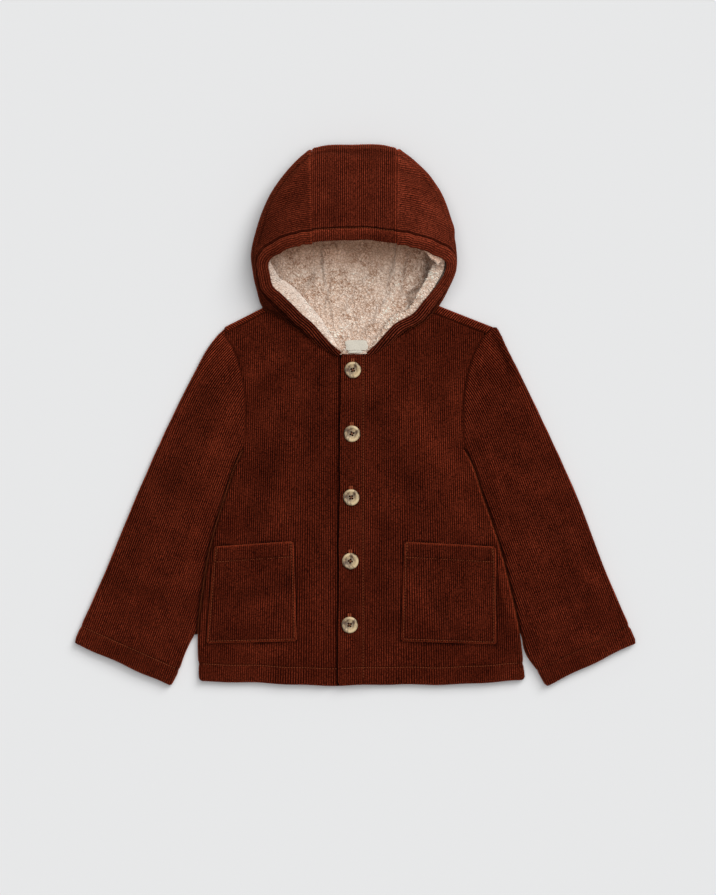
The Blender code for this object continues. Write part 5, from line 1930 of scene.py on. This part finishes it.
def thread_look(name, low, high):
    """Sewing thread between two colours."""
    look = Look(name, 0.6, 0.1)
    return look.finish(look.between(look.noise(2600.0, 1.0), low, high))


def horn_look():
    """Mottled horn: beige with brown clouds, darker at the rim, with painted shade in a ring, under a soft
    polish.
    """
    look = Look("button_horn", 0.4, 0.3, coat_weight=0.1, coat_roughness=0.2)
    clouds = look.band(look.noise(150.0, 4.0, 0.62, stretch=(1.0, 0.5, 1.0)), 0.38, 0.54)
    colour = look.between(clouds, (0.12, 0.072, 0.045), (0.63, 0.475, 0.275))
    flat = look.add("ShaderNodeVectorMath", operation="MULTIPLY")
    look.join(look.where(), flat.inputs[0])
    flat.inputs[1].default_value = (1.0, 1.0, 0.0)
    away = look.add("ShaderNodeVectorMath", operation="LENGTH")
    look.join(flat.outputs["Vector"], away.inputs[0])
    radius = away.outputs["Value"]
    patchy = look.band(look.noise(95.0, 2.0), 0.40, 0.58)
    rim = look.blend("MULTIPLY", look.band(radius, 0.0071, 0.0088), (1, 1, 1), patchy)
    rim = look.between(rim, (0.10, 0.07, 0.06), (1, 1, 1))
    # A ring of painted shade on the button's face.
    ring = look.between(look.band(radius, 0.0050, 0.0056), (0.78, 0.75, 0.72), (1, 1, 1))
    return look.finish(look.times(colour, rim, ring), look.bump(look.noise(500.0, 2.0), 0.1, 0.0003))


def label_look():
    """Cream woven tape."""
    look = Look("label_tape", 0.85, 0.5)
    where = look.where()
    threads = []
    for direction in ("Y", "X"):
        wave = look.add("ShaderNodeTexWave", wave_type="BANDS", bands_direction=direction, Scale=520.0)
        look.join(where, wave.inputs["Vector"])
        threads.append(wave.outputs["Fac"])
    weft, warp = threads
    colour = look.between(weft, (0.60, 0.55, 0.455), (0.80, 0.745, 0.64))
    return look.finish(colour, look.bump(warp, 0.4, 0.0002, look.bump(weft, 0.4, 0.0002)))


def floor_look():
    """A matt pale floor."""
    return Look("floor_paint", 0.9, 0.1, base_color=(0.80, 0.805, 0.81, 1)).material


# Stage ----------------------------------------------------------------------------------------

VIEW_CENTRE = (3.3, -34.65)
VIEW_HEIGHT = 984.5
VIEW_DISTANCE = 8000.0
SENSOR = 36.0
FLOOR_REACH = 8000.0

# Lamps: name, azimuth, elevation and spread in degrees, and share of the floor's light.
WORLD_SHARE = 0.20
LAMPS = (("key", 50.0, 44.0, 34.0, 0.28), ("fill", 60.0, 80.0, 60.0, 0.52))


def make_stage():
    """Floor, lamps and the camera straight above."""
    corners = [(x * FLOOR_REACH, y * FLOOR_REACH, 0.0) for x, y in ((-1, -1), (1, -1), (1, 1), (-1, 1))]
    floor = new_object("floor", corners, [(0, 1, 2, 3)], floor_look(), smooth=False)
    floor.location.z = -0.2 * MM

    world = bpy.data.worlds.new("studio")
    world.use_nodes = True
    sky = world.node_tree.nodes["Background"]
    sky.inputs["Color"].default_value = (1.0, 1.0, 1.0, 1)
    sky.inputs["Strength"].default_value = WORLD_SHARE
    bpy.context.scene.world = world
    for name, *angles, share in LAMPS:
        turn, rise, spread = (math.radians(angle) for angle in angles)
        data = bpy.data.lights.new(name, "SUN")
        data.angle = spread
        data.energy = math.pi * share / math.sin(rise)
        lamp = linked(name, data)
        towards = Vector((math.cos(turn) * math.cos(rise), math.sin(turn) * math.cos(rise), math.sin(rise)))
        lamp.location = towards * 3
        lamp.rotation_euler = towards.to_track_quat("Z", "Y").to_euler()

    data = bpy.data.cameras.new("camera")
    data.sensor_width = SENSOR
    data.lens = SENSOR * VIEW_DISTANCE / VIEW_HEIGHT
    data.clip_end = 100.0
    camera = linked("camera", data)
    camera.location = (VIEW_CENTRE[0] * MM, VIEW_CENTRE[1] * MM, VIEW_DISTANCE * MM)
    bpy.context.scene.camera = camera
    bpy.context.scene.view_settings.view_transform = "Standard"


def main():
    """Build the coat's looks on its frame."""
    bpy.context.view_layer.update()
    corduroy = {}
    for name, tone in NAP_AND_LIGHT_TONES.items():
        corduroy[name] = corduroy_look(f"corduroy_{name}", tone, GROOVE_SHADES.get(name, BARE_GROOVE_SHADE))
    fleece = fleece_look()
    thread = thread_look("rust_thread", (0.17, 0.037, 0.012), (0.30, 0.07, 0.024))
    brown = thread_look("brown_thread", (0.10, 0.022, 0.010), (0.24, 0.055, 0.02))
    for side in SIDES:
        make_front(side, corduroy["body"])
        make_pocket(side, corduroy["body"])
        make_sleeve(side, corduroy[f"sleeve_{side}"])
        make_stitching(f"front_{side}_stitching", front_rows(side), thread)
        make_stitching(f"sleeve_{side}_stitching", sleeve_rows(side), thread)
    make_back(corduroy["body"])
    panels = hood_panels()
    for name, node in (("left", "hood_side_left"), ("right", "hood_side_right"), ("centre", "hood_centre")):
        make_hood_cloth(name, node, panels[name], corduroy[f"hood_{name}"])
    make_stitching("hood_stitching", hood_band_rows(panels), thread)
    for name, panel in panels.items():
        make_hood_lining(name, panel, fleece)
    make_neck_lining(fleece)
    make_buttons(horn_look(), brown)
    make_buttonholes(thread)
    make_label(label_look())
    make_stage()


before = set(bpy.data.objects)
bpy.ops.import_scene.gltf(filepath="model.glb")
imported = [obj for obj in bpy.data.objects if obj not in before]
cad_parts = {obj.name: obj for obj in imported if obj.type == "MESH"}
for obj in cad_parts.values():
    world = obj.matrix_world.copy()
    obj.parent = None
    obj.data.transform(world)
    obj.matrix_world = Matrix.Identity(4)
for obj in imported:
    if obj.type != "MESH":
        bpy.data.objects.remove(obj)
main()
